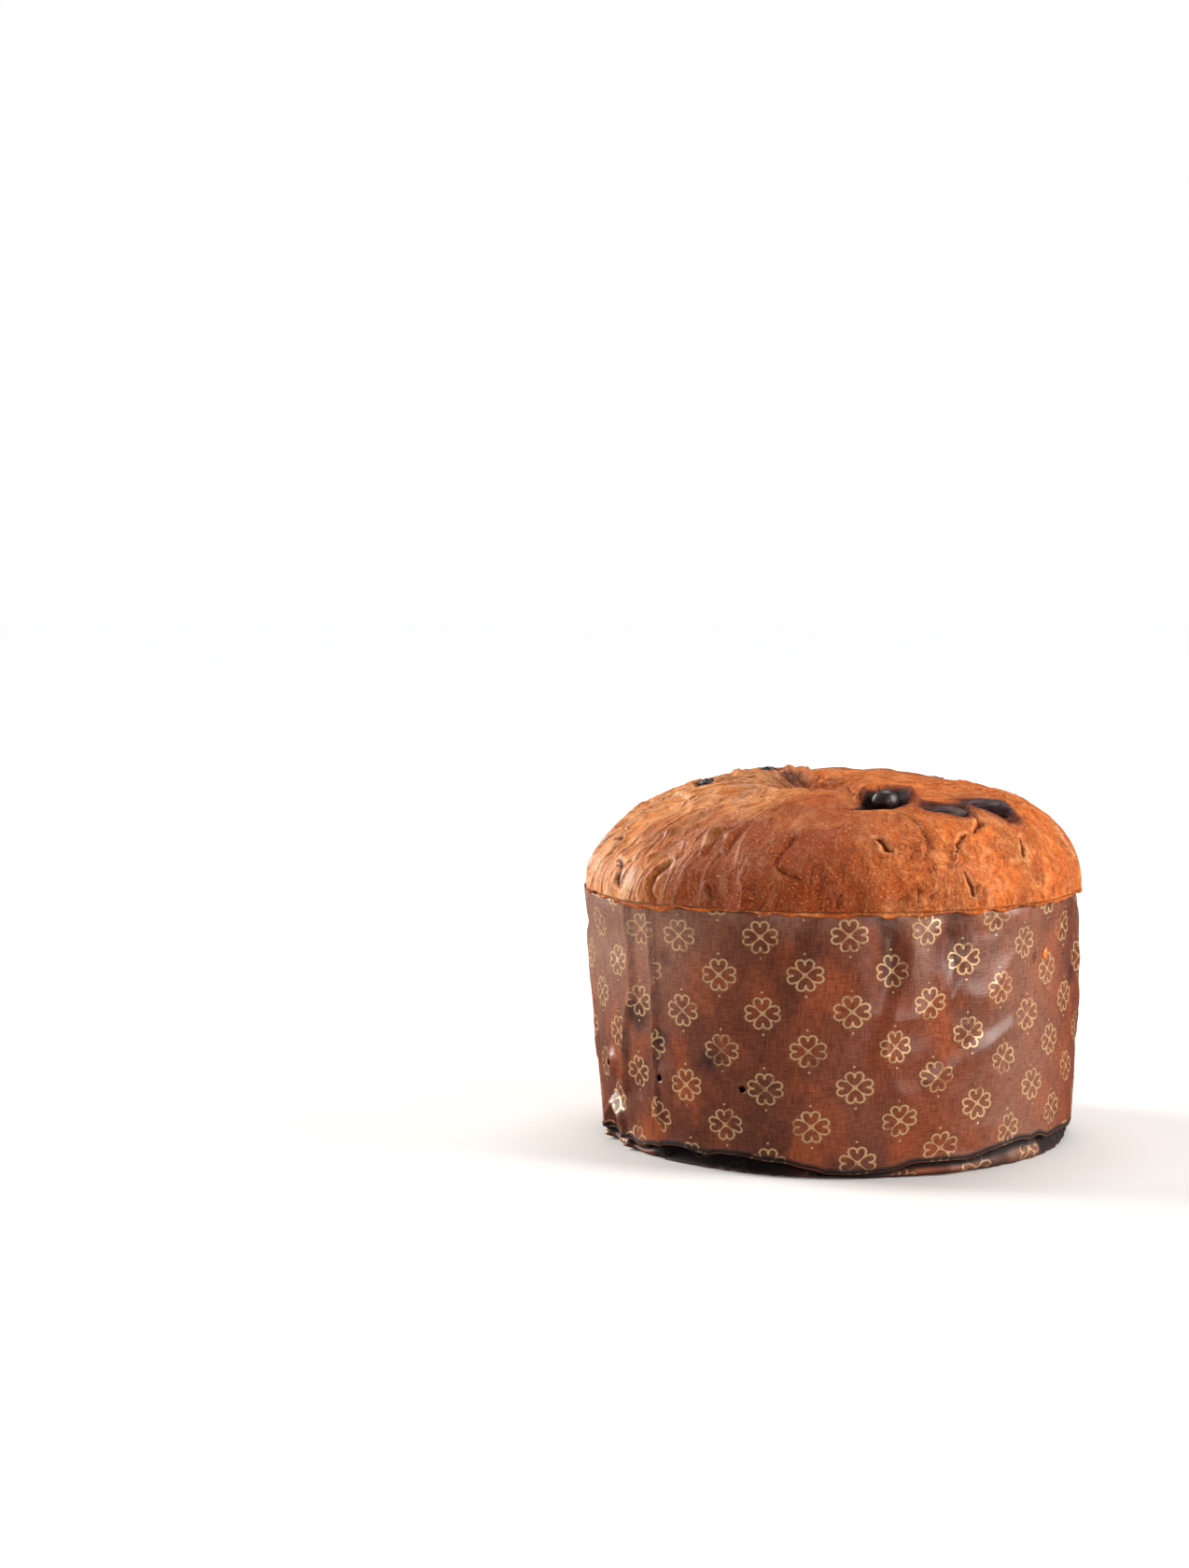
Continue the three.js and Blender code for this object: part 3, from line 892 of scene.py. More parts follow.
def loaf_bake_map(quads, triangles, rows, dome_rows, columns):
    """A flat layout with the dome as a disc and all that lies under it in a strip below the disc."""
    top_pole, bottom_pole = rows * columns, rows * columns + 1
    corners = np.concatenate([quads.ravel(), triangles.ravel()])
    first = np.concatenate([np.repeat(quads[:, 0], 4), np.repeat(triangles[:, 1], 3)])
    first_column = first % columns
    row, column = corners // columns, corners % columns
    column = np.where((column == 0) & (first_column == columns - 1), columns, column)
    pole = (corners == top_pole) | (corners == bottom_pole)
    column = np.where(pole, first_column + 0.5, column)
    row = np.where(corners == top_pole, -1, np.where(corners == bottom_pole, rows, row))
    face_row = np.concatenate([np.repeat(quads.min(1), 4), np.repeat(triangles[:, 1:].min(1), 3)])
    on_dome = (face_row // columns < dome_rows) & (corners != bottom_pole)
    angle = column / columns * 2 * math.pi
    reach = 0.455 * (row + 1) / (dome_rows + 1)
    disc = polar(reach, angle)[..., :2] + (0.5, 0.54)
    under = (row - dome_rows) / (rows - dome_rows)
    strip = stack(0.005 + 0.99 * column / columns, 0.075 - 0.07 * under)
    return np.where(on_dome[:, None], disc, strip)


def build_loaf():
    """The loaf as one closed skin of rows that go round it, with a pole at each end."""
    bearing = np.arange(LOAF_COLUMNS) / LOAF_COLUMNS * 2 * math.pi
    dome, marks, run = loaf_rows(bearing)
    lip = lip_rows(bearing, dome[-1])
    below = np.concatenate([lip, side_rows(bearing), base_rows(bearing)])
    points = np.concatenate([dome, below]).reshape(-1, 3)
    rows = len(points) // LOAF_COLUMNS
    poles = np.stack([[0, 0, dome[0, :, 2].mean()], [0, 0, PAPER + GAP]])
    points = np.concatenate([points, poles])
    quads = round_faces(rows, LOAF_COLUMNS)
    ring = np.arange(LOAF_COLUMNS)
    top = cap_faces(rows * LOAF_COLUMNS, ring, True)
    bottom = cap_faces(rows * LOAF_COLUMNS + 1, ring + (rows - 1) * LOAF_COLUMNS, False)
    triangles = np.concatenate([top, bottom])

    def filled(values, beneath):
        """Values of the dome's rows, one value for every point beneath them, and the poles."""
        rest = np.full(len(below) * LOAF_COLUMNS, beneath)
        return np.concatenate([values.ravel(), rest, [values[0].mean(), beneath]])

    flow = flow_of(bearing, run).reshape(-1, 3)
    beneath = points[len(flow) : -2] * (1, 1, 0) + (0, 0, 30)
    flow = np.concatenate([flow, beneath, [[0, 0, 0], [0, 0, 30]]])
    values = {key: filled(mark, 4.0 if key in ("crease", "split") else 0.0) for key, mark in marks.items()}
    in_mould = np.arange(len(points)) // LOAF_COLUMNS >= DOME_ROWS + LIP_ROWS - 3
    in_mould[rows * LOAF_COLUMNS] = False
    values |= {"crumb": in_mould.astype(float), "flow": flow}
    bake = loaf_bake_map(quads, triangles, rows, DOME_ROWS, LOAF_COLUMNS)
    return make_piece("loaf_crust", points, quads, triangles, {"OFBake": bake}, values)


def crust_finish(settings):
    """Baked crust: mottled orange-brown, with painted highlights on its wrinkles and stretched skin, painted
    red-brown shade in creases and hollows, thin painted dark lines down its creases and splits, and black
    where burnt or in the open hollow's painted shade.
    """
    material, tree, shader = new_finish("baked_crust", Specular_IOR_Level=0.14, Coat_Roughness=0.4)
    place = object_mm(tree)
    flow = node(tree, "Attribute", attribute_name="flow").outputs["Vector"]
    stretch, tan = point_value(tree, "stretch"), point_value(tree, "tan")
    blotches = mottle(tree, place, 22.0)
    patches = mottle(tree, stretched(tree, place, (1, 1, 1), shift=(31, 7, 5)), 8.0)
    reds = mottle(tree, stretched(tree, place, (1, 1, 1), shift=(3, 50, 9)), 14.0)
    lumps = grain(tree, place, 0.34, 5.0, 0.65)
    pores = grain(tree, place, 1.3, 3.0, 0.65)
    loose = folded_noise(tree, place, 0.09, 0.4)
    drawn = folded_noise(tree, stretched(tree, flow, (1, 1, 1.2)), 0.2, 0.6)
    drawn = calc(tree, "MULTIPLY", drawn, calc(tree, "MULTIPLY_ADD", stretch, 0.9, 0.1))
    wrinkles = calc(tree, "MULTIPLY_ADD", loose, calc(tree, "MULTIPLY_ADD", stretch, -0.5, 0.5), drawn)

    colour = layered(
        tree,
        paint(settings.deep),
        (blotches, 0.34, 0.66, 1.0, settings.mid),
        (reds, 0.46, 0.7, 0.45, settings.ruddy),
        (patches, 0.46, 0.76, 0.55, settings.pale),
    )
    # Paler on the stretched skin, partly its own colour and partly a painted highlight on that side.
    colour = mixed(tree, calc(tree, "MULTIPLY", stretch, 0.38), colour, paint("E8A45E"))
    colour = layered(
        tree,
        colour,
        (lumps, 0.5, 0.32, 0.62, "84340E"),
        (lumps, 0.52, 0.7, 0.45, "EC9E58"),
        # The tan mark: a deeper bake, and painted shade on the front-left.
        (tan, 0.0, 1.0, 0.92, "8A3404"),
    )
    # Painted highlight, partly dry flaky skin: paler along the wrinkles' crests, less where tanned.
    streaks = calc(
        tree, "MULTIPLY", fade(tree, wrinkles, 0.4, 0.95, 0.0, 0.5), fade(tree, tan, 0.1, 0.8, 1.0, 0.3)
    )
    colour = layered(
        tree,
        mixed(tree, streaks, colour, paint("F0B078")),
        (pores, 0.46, 0.28, 0.7, "702C0E"),
        (pores, 0.54, 0.72, 0.5, "F2AC74"),
        (point_value(tree, "shade"), 0.1, 1.15, 0.9, "64240D"),
    )
    ragged = calc(tree, "MULTIPLY_ADD", grain(tree, place, 0.8, 3.0, 0.6), 1.4, -0.7)
    crease = calc(tree, "ADD", point_value(tree, "crease"), ragged)
    split = calc(tree, "ADD", point_value(tree, "split"), ragged)
    # Painted shade: a thin dark line down each crease, split and hairline crack.
    creased, opened = fade(tree, crease, 0.5, 0.05, 0.0, 0.55), fade(tree, split, 0.75, 0.2, 0.0, 0.9)
    line = calc(tree, "MAXIMUM", creased, opened)
    fine = fade(tree, folded_noise(tree, place, 0.11, 0.8), 0.82, 1.0)
    fine = calc(tree, "MULTIPLY", fine, fade(tree, reds, 0.48, 0.6))
    line = calc(tree, "MAXIMUM", line, calc(tree, "MULTIPLY", fine, 0.35))
    lifted = calc(tree, "MULTIPLY", fade(tree, split, 0.8, 1.3), fade(tree, split, 2.6, 1.5))
    colour = mixed(tree, calc(tree, "MULTIPLY", lifted, 0.4), colour, paint("F0AE78"))
    colour = mixed(tree, calc(tree, "MULTIPLY", line, 0.85), colour, paint("4E1C08"))
    # The burn mark: scorched crust, and painted shade in the open hollow.
    scorch = calc(tree, "ADD", point_value(tree, "burn_and_shade"), calc(tree, "MULTIPLY_ADD", patches, 0.6, -0.3))
    colour = layered(tree, colour, (scorch, 0.1, 0.7, 0.6, "6E3026"), (scorch, 0.5, 1.1, 0.95, "21110F"))
    colour = mixed(tree, point_value(tree, "crumb"), colour, paint("8A4E26"))
    rough = fade(tree, lumps, 0.3, 0.7, 0.6, 0.44)
    greasy = calc(tree, "MULTIPLY", fade(tree, wrinkles, 0.2, 0.8, 0.1, 0.5), stretch)
    feed(tree, shader, {"Base Color": colour, "Roughness": rough, "Coat Weight": greasy})
    height = calc(tree, "MULTIPLY_ADD", lumps, 1.0, calc(tree, "MULTIPLY", wrinkles, 0.9))
    height = calc(tree, "MULTIPLY_ADD", pores, 0.4, height)
    height = calc(tree, "MULTIPLY_ADD", line, -0.8, height)
    raise_surface(tree, shader, height, 1.25)
    return material


# ---------------------------------------------------------------- the paper band

BAND_COLUMNS = 512
BAND_SIDE_ROWS = 74
BAND_ARC_RADIUS = 84.0
GLUED_EDGE = math.radians(224.6)  # bearing of the band's outer end
LAP = 20.5  # width of the glued lap, which lies to the left of that end
ROUND = 2 * math.pi * BAND_ARC_RADIUS
CORNER_ROWS_FROM = 11  # below this height, the band's rows follow the wavy corner at the foot


def arc_at(bearing_degrees):
    """Distance round the band from its glued edge to a bearing, going to the right."""
    return (math.radians(bearing_degrees) - GLUED_EDGE) % (2 * math.pi) * BAND_ARC_RADIUS


FRONT_ARC = arc_at(270)

# Soft flutes of the band: arc from the front, spread, height out, how far down they reach.
FLUTES = (
    (8, 4.0, 0.7, 45),
    (17, 3.2, -2.2, 45),
    (28, 4.5, 1.7, 60),
    (40, 3.4, -1.7, 50),
    (52, 6.0, 0.9, 45),
    (-30, 9.0, -0.8, 60),
    (-12, 5.0, 0.5, 30),
    (66, 6.0, 0.7, 45),
    (88, 6.0, -0.9, 50),
    (120, 8.0, 0.9, 60),
    (165, 5.0, -1.2, 45),
    (178, 4.0, 0.9, 40),
    (220, 7.0, -0.8, 55),
    (262, 5.0, 1.0, 50),
    (300, 6.0, -1.0, 45),
    (340, 7.0, 0.8, 60),
    (372, 5.0, -0.9, 40),
)

# Places where the band is drawn in below its rim: arc from the front, spread, depth, and how far
# below the rim it starts and is full.
DRAWN_IN = ((-93, 24, 2.2, 2, 14), (88, 24, 3.0, 1, 9))

# Places where the band stands off the loaf and is dry, made paler also as painted sheen: arc from the front,
# spread, strength.
DRY_AND_SHEEN_PLACES = ((76, 26, 0.4), (210, 30, 0.3))

# Rises of the crimped corner at the foot: arc from the front, spread, height.
CORNER_RISES = ((-42, 18, 1.7), (4, 12, -1.9), (64, 14, 2.0), (32, 9, 0.8), (96, 18, 3.0))

# The pinched ear at the left foot: arc from the front and height along its fold, its half-widths.
EAR = ((-110, 3), (-106, 10), (-99, 15), (-92, 11), (-87, 4))
EAR_WIDTHS = (2.2, 3.4, 4.0, 3.4, 2.2)

# Folds of the paper: arc from the front and height along each, half-width, height out.
PAPER_FOLDS = (
    (((-67.4, 89), (-67.2, 60), (-67.0, 38), (-67.6, 14)), 1.9, 1.3),
    (((-79.0, 89), (-79.5, 56), (-86.0, 43), (-88.0, 22)), 3.2, 1.7),
    (((26, 74), (19, 56), (15, 40)), 5.0, 1.0),
    (((31, 32), (45, 39), (66, 47)), 5.0, 1.3),
    (((17, 37), (24, 26)), 6.0, 0.9),
    (((38, 60), (46, 74), (45, 86)), 4.0, 0.9),
    (((70, 70), (80, 50), (78, 30)), 5.0, 0.9),
    (((118, 80), (124, 50), (140, 34)), 4.5, 1.2),
    (((168, 86), (172, 60), (166, 42)), 4.0, 1.3),
    (((205, 40), (226, 48), (244, 66)), 4.5, 1.1),
    (((-240, 84), (-236, 52), (-250, 34)), 4.5, 1.2),
    (((-205, 60), (-190, 42), (-172, 36)), 4.5, 1.0),
    (((-158, 88), (-155, 58), (-166, 40)), 4.0, 1.3),
    (((-128, 70), (-118, 48), (-122, 28)), 4.5, 1.0),
)

# Painted shade of each row of the tucked paper, from the corner in, partly grease-darkened paper and partly
# the shade of the recess, and how much less of it where the rolling brings the paper out into the light.
TUCK_SHADE = np.array([0.4, 0.8, 1, 1, 1, 1, 1, 0.85, 0.55, 0.5, 0.6, 1])[:, None]
TUCK_SEEN = np.array([0, 0, 0, 0, 0.2, 0.7, 0.8, 0.5, 0, 0, 0, 0])[:, None]

# Dark spots where raisins and grease show through: arc from the front, height, radius, strength.
STAINS = (
    (-77, 48, 7, 0.9),
    (-75, 33, 4, 0.4),
    (-64, 42, 4.5, 0.9),
    (-62, 70, 5, 0.6),
    (-44, 37, 5, 0.8),
    (-34, 33, 3.5, 0.5),
    (20, 46, 4, 0.35),
    (48, 30, 5, 0.4),
    (112, 60, 5, 0.8),
    (150, 28, 6, 0.8),
    (196, 52, 5, 0.9),
    (238, 36, 5, 0.7),
    (274, 66, 4, 0.8),
    (322, 44, 6, 0.8),
    (356, 24, 5, 0.7),
)


def fold_line(arc, bearing):
    """Height of the crimped corner at the foot, how deep the paper tucks in there, and its roll.

    The corner rises and falls round the mould. To the left of the front the paper tucks in deep
    and plain, and to the right it rolls back out beneath the corner.
    """
    round_it = polar(1, bearing)
    ahead = arc - FRONT_ARC
    height = 4.2 + 1.3 * noise(round_it * 9, 1, 81)
    for middle, spread, rise in CORNER_RISES:
        height = height + rise * bell(ahead, middle, spread)
    tuck = 2.4 + 0.8 * noise(round_it * 7, 1, 82) + 4.2 * bell(ahead, -36, 24) - 0.8 * bell(ahead, 10, 8)
    roll = smooth(-0.1, 0.6, noise(round_it * 5, 1, 83)) + bell(ahead, 40, 22)
    roll = roll * (1 - bell(ahead, -40, 26))
    return np.clip(height, 1.8, 8.5), np.clip(tuck, 0.7, 7.0), np.clip(roll, 0, 1)


def band_buckles(arc, z, bearing):
    """How far the paper stands out from its plain shape, and where it is creased.

    The sum of flutes that fade downwards, facets between soft ridges where it is crumpled, places
    drawn in below the rim, folds with straight flanks, the step of the glued lap, and a pinched
    ear at the left foot. All of it dies away round a skewer hole.
    """
    ahead = turned_by(bearing, FRONT) * BAND_ARC_RADIUS
    place = polar(BAND_ARC_RADIUS, bearing, z)
    out, crease = 0.0, 0.0
    for middle, spread, height, reach in FLUTES:
        near = bell(turned_by(ahead, middle, ROUND), 0, spread)
        out = out + height * near * smooth(RIM - reach, RIM, z)
    flute = out
    crumple = bell(ahead, 40, 26) * bell(z, 44, 24) + 0.5 * smooth(-0.1, 0.6, noise(place, 60, 91))
    crumple = np.clip(crumple + 0.2, 0, 1)
    warped = place + 5 * stack(*(noise(place, 20, seed) for seed in (92, 93, 94)))
    ridges = 1 - 2 * np.abs(noise(warped, 25, 95))
    small_ridges = 1 - 2 * np.abs(noise(warped, 12, 96))
    out = out + crumple * (1.3 * ridges + 0.5 * small_ridges - 0.7) + 0.15 * noise(place, 7, 97)
    for middle, spread, depth, start, full in DRAWN_IN:
        out = out - depth * bell(ahead, middle, spread) * smooth(RIM - start, RIM - full, z)
    crease = crease + 0.4 * crumple * smooth(0.8, 1.0, ridges)

    sway = 0.8 * noise(place, 15, 98)
    for path, half_width, height in PAPER_FOLDS:
        tent = np.clip(1 - from_path(ahead + sway, z, path, [half_width] * len(path)), 0, 1)
        out = out + height * 0.5 * (tent + smooth(0, 1, tent))
        crease = crease + 0.5 * smooth(0.6, 1.0, tent)
    out = out + 0.3 * smooth(ROUND - LAP - 0.6, ROUND - LAP + 0.6, arc)

    pinch = np.clip(1 - from_path(ahead + sway, z, EAR, EAR_WIDTHS), 0, 1)
    cleft = bell(ahead, -98.5, 3.6) * bell(z, 5.5, 3.6)
    out = out + 3.4 * (0.6 * pinch + 0.4 * smooth(0, 1, pinch)) - 1.6 * cleft
    crease = crease + 0.8 * smooth(0.6, 1.0, pinch)
    for hole in skewer_bearings():
        gap = np.hypot(turned_by(bearing, hole) * BAND_ARC_RADIUS, z - SKEWER_HEIGHT)
        out = out * (0.15 + 0.85 * smooth(1.5, 6.5, gap))
    return out, np.clip(crease, 0, 1), flute


def band_outside(arc, z):
    """The outer face of the band's side, its creases and its flutes."""
    bearing = GLUED_EDGE + arc / BAND_ARC_RADIUS
    out, crease, flute = band_buckles(arc, z, bearing)
    hug = smooth(RIM + 0.5, RIM - 6, z)
    near_rim = 1 - 0.75 * hug
    tight = 1 - smooth(0.3, 2.0, flare(bearing, RIM))
    out = out * (1 - tight * near_rim * smooth(RIM - 8, RIM, z))
    slack = smooth(RIM - 3, RIM - 12, z)
    out = np.maximum(out + 0.3 * slack, -(GAP + 0.15 + 2.0 * slack))
    radius = crumb_radius(z) + GAP + PAPER + flare(bearing, z) + out
    return polar(radius, bearing, z), crease, flute


def build_band():
    """The band as one closed sheet: its outer face, its inner face, and edges between the two."""
    columns = BAND_COLUMNS
    arc_line = np.arange(columns) / columns * ROUND
    bearing_line = GLUED_EDGE + arc_line / BAND_ARC_RADIUS
    corner, tuck, roll = fold_line(arc_line, bearing_line)
    steady = np.linspace(RIM, CORNER_ROWS_FROM, BAND_SIDE_ROWS)[:, None] + 0 * arc_line
    share = np.linspace(0, 1, 9)[1:, None]
    lower = CORNER_ROWS_FROM + share * (corner + 0.5 - CORNER_ROWS_FROM)
    z = np.concatenate([steady, lower])
    arc = arc_line + 0 * z
    arc, z, ring = ringed_grid(arc, z, ROUND, hole_places(GLUED_EDGE, BAND_ARC_RADIUS), 6)
    side, crease, flute = band_outside(arc, z)

    edge = np.hypot(side[-1, :, 0], side[-1, :, 1])
    crumple = 0.5 * noise(polar(24, bearing_line), 1, 84)
    foot = FOOT_RADIUS + crumple + 1.4 * bell(arc_line - FRONT_ARC, -30, 34)
    inward = edge - tuck
    rolled = inward + roll * (tuck - 0.5)
    tucked = rings(
        bearing_line,
        (edge + 0.05, corner),
        (edge - 0.35, corner - 0.35),
        (edge - 0.6 * tuck, corner - 0.5),
        (inward, corner * 0.82 - 0.2),
        (inward + 0.2 * (rolled - inward), corner * 0.68),
        (inward + 0.7 * (rolled - inward), corner * 0.5),
        (rolled, corner * 0.34),
        (0.5 * (rolled + foot) + 0.2, corner * 0.16),
        (foot, 0.12),
        (foot - 1.5, 0.02),
        (74.0, 0.0),
        (HEM_INNER_RADIUS, 0.0),
    )
    outer = np.concatenate([side, tucked])
    normals = grid_normals(outer)
    normals[-3:] = (0, 0, -1)
    inner = outer - PAPER * 0.85 * normals
    inner[..., 2] = np.maximum(inner[..., 2], 0.02)
    rows = len(outer)
    count = rows * columns
    points = np.concatenate([outer.reshape(-1, 3), inner.reshape(-1, 3)])

    ring = np.concatenate([ring, np.full(tucked.shape[:2], FAR)])
    quads = round_faces(rows, columns)
    open_ring = np.where(ring.ravel() < HOLE_RINGS, 1, 0)[quads].max(axis=1) > 0
    kept = quads[~open_ring]
    top, last = np.arange(columns), np.arange(columns) + (rows - 1) * columns
    rim = strip_between(top + count, top)
    hem = strip_between(last, last + count)
    holes_edge = open_edges(kept, count)
    quads = np.concatenate([kept, kept[:, ::-1] + count, rim, hem, holes_edge])

    used = np.zeros(len(points), bool)
    used[quads.ravel()] = True
    number = np.cumsum(used) - 1
    flat_arc = np.concatenate([arc, arc_line + 0 * tucked[..., 0]])
    steps = np.linalg.norm(np.diff(outer, axis=0), axis=-1)
    down = np.concatenate([[0 * arc_line], np.cumsum(steps, axis=0)])
    unrolled, bake = band_maps(quads, flat_arc, RIM - down, count, columns)
    # under: painted shade in the recess beneath the crimped corner and on the side's last 3 mm above it,
    # partly grease-darkened paper.
    under = np.concatenate([0 * side[..., 0], TUCK_SHADE * (1 - TUCK_SEEN * roll)])
    under[: len(side)] = smooth(3.0, 0.0, z - corner)
    creases, flutes = (np.concatenate([v, 0 * tucked[..., 0]]) for v in (crease, flute))
    ahead = flat_arc - FRONT_ARC
    # lift: paler where the band leans out and at the dry places, partly dry paper and partly painted sheen.
    lift = flare(GLUED_EDGE + flat_arc / BAND_ARC_RADIUS, np.clip(RIM - down, 0, RIM)) / FLARE
    for middle, spread, strength in DRY_AND_SHEEN_PLACES:
        lift = lift + strength * bell(ahead, middle, spread)
    stain = 0.0
    for middle, height, radius, strength in STAINS:
        off = turned_by(ahead, middle, ROUND)
        stain = stain + strength * np.exp(-(off**2 + (RIM - down - height) ** 2) / radius**2)
    inside = np.repeat([0.0, 1.0], count)
    both = {"under": under, "crease": creases, "flute": flutes, "lift": lift, "stain": stain}
    values = {k: np.concatenate([v.ravel(), v.ravel()])[used] for k, v in both.items()}
    values["inside"] = inside[used]
    maps = {"Unrolled": unrolled, "OFBake": bake}
    no_triangles = np.zeros((0, 3), int)
    return make_piece("paper_band", points[used], number[quads], no_triangles, maps, values)


def strip_between(upper, lower):
    """Quads that join two rings of corners, facing out where the upper ring is the inner one."""
    return np.stack([upper, lower, np.roll(lower, -1), np.roll(upper, -1)], axis=-1)


def open_edges(quads, count):
    """Quads through the paper's thickness at each hole: one for each edge that has only one face."""
    edges = np.concatenate([quads[:, [k, (k + 1) % 4]] for k in range(4)])
    keys = edges[:, 0] * 10_000_000 + edges[:, 1]
    twins = edges[:, 1] * 10_000_000 + edges[:, 0]
    alone = edges[~np.isin(keys, twins)]
    low, high = alone.min(axis=1), alone.max(axis=1)
    inside = (low >= BAND_COLUMNS) & (high < count - BAND_COLUMNS)
    alone = alone[inside]
    return np.stack([alone[:, 1], alone[:, 0], alone[:, 0] + count, alone[:, 1] + count], axis=-1)


def print_slip(arc, height):
    """How far the print has crept along and up the paper, where the sheet is not rolled up true.

    It creeps to the left and up on the right of the front, and the other way under the lap.
    """
    ahead = arc - FRONT_ARC
    right = smooth(10, 36, ahead) * (1 - smooth(90, 190, ahead))
    along = -(4.6 + 1.2 * smooth(50, 60, ahead) * smooth(60, 85, height)) * right
    along = along * (0.25 + 0.75 * smooth(18, 50, height))
    upward = 0.5 + right * (0.065 * np.clip(ahead - 15, 0, 80) + 0.02 * (60 - height))
    lapped = smooth(300, 440, arc)
    along = along * (1 - lapped) + lapped * (3.1 + 0.168 * (height - 53.6))
    return along, upward * (1 - lapped) + lapped * 4.2


def band_maps(quads, arc, height, count, columns):
    """The print's own map, in millimetres of flat paper, and a layout for baking.

    The layout lays the band's outer face in two long strips, one above the other, and squeezes
    its inner face and edges into the space above them.
    """
    corner_column = (quads % count) % columns
    wraps = corner_column.max(axis=1) - corner_column.min(axis=1) > columns / 2
    corners_arc = arc.ravel()[quads % count]
    passed = wraps[:, None] & (corner_column < columns / 2)
    corners_arc = np.where(passed, corners_arc + ROUND, corners_arc)
    corners_height = height.ravel()[quads % count]
    along, upward = print_slip(corners_arc, corners_height)
    unrolled = stack(corners_arc - along, corners_height - upward).reshape(-1, 2)

    is_inner = (quads >= count).any(axis=1)[:, None]
    second = (corners_arc.mean(axis=1) > ROUND / 2)[:, None]
    low, high = height.min(), height.max()
    u = 0.005 + 0.985 * (corners_arc - second * ROUND / 2) / (ROUND / 2)
    share = (corners_height - low) / (high - low)
    v_outer = np.where(second, 0.45, 0.005) + 0.435 * share
    v_inner = np.where(second, 0.945, 0.895) + 0.042 * share
    bake = stack(u, np.where(is_inner, v_inner, v_outer)).reshape(-1, 2)
    return unrolled, bake


PRINT_TILT = math.radians(2.5)  # the sheet was rolled up slightly askew
PRINT_START = (72.6, 30.0)  # arc and height of the middle of one ornament


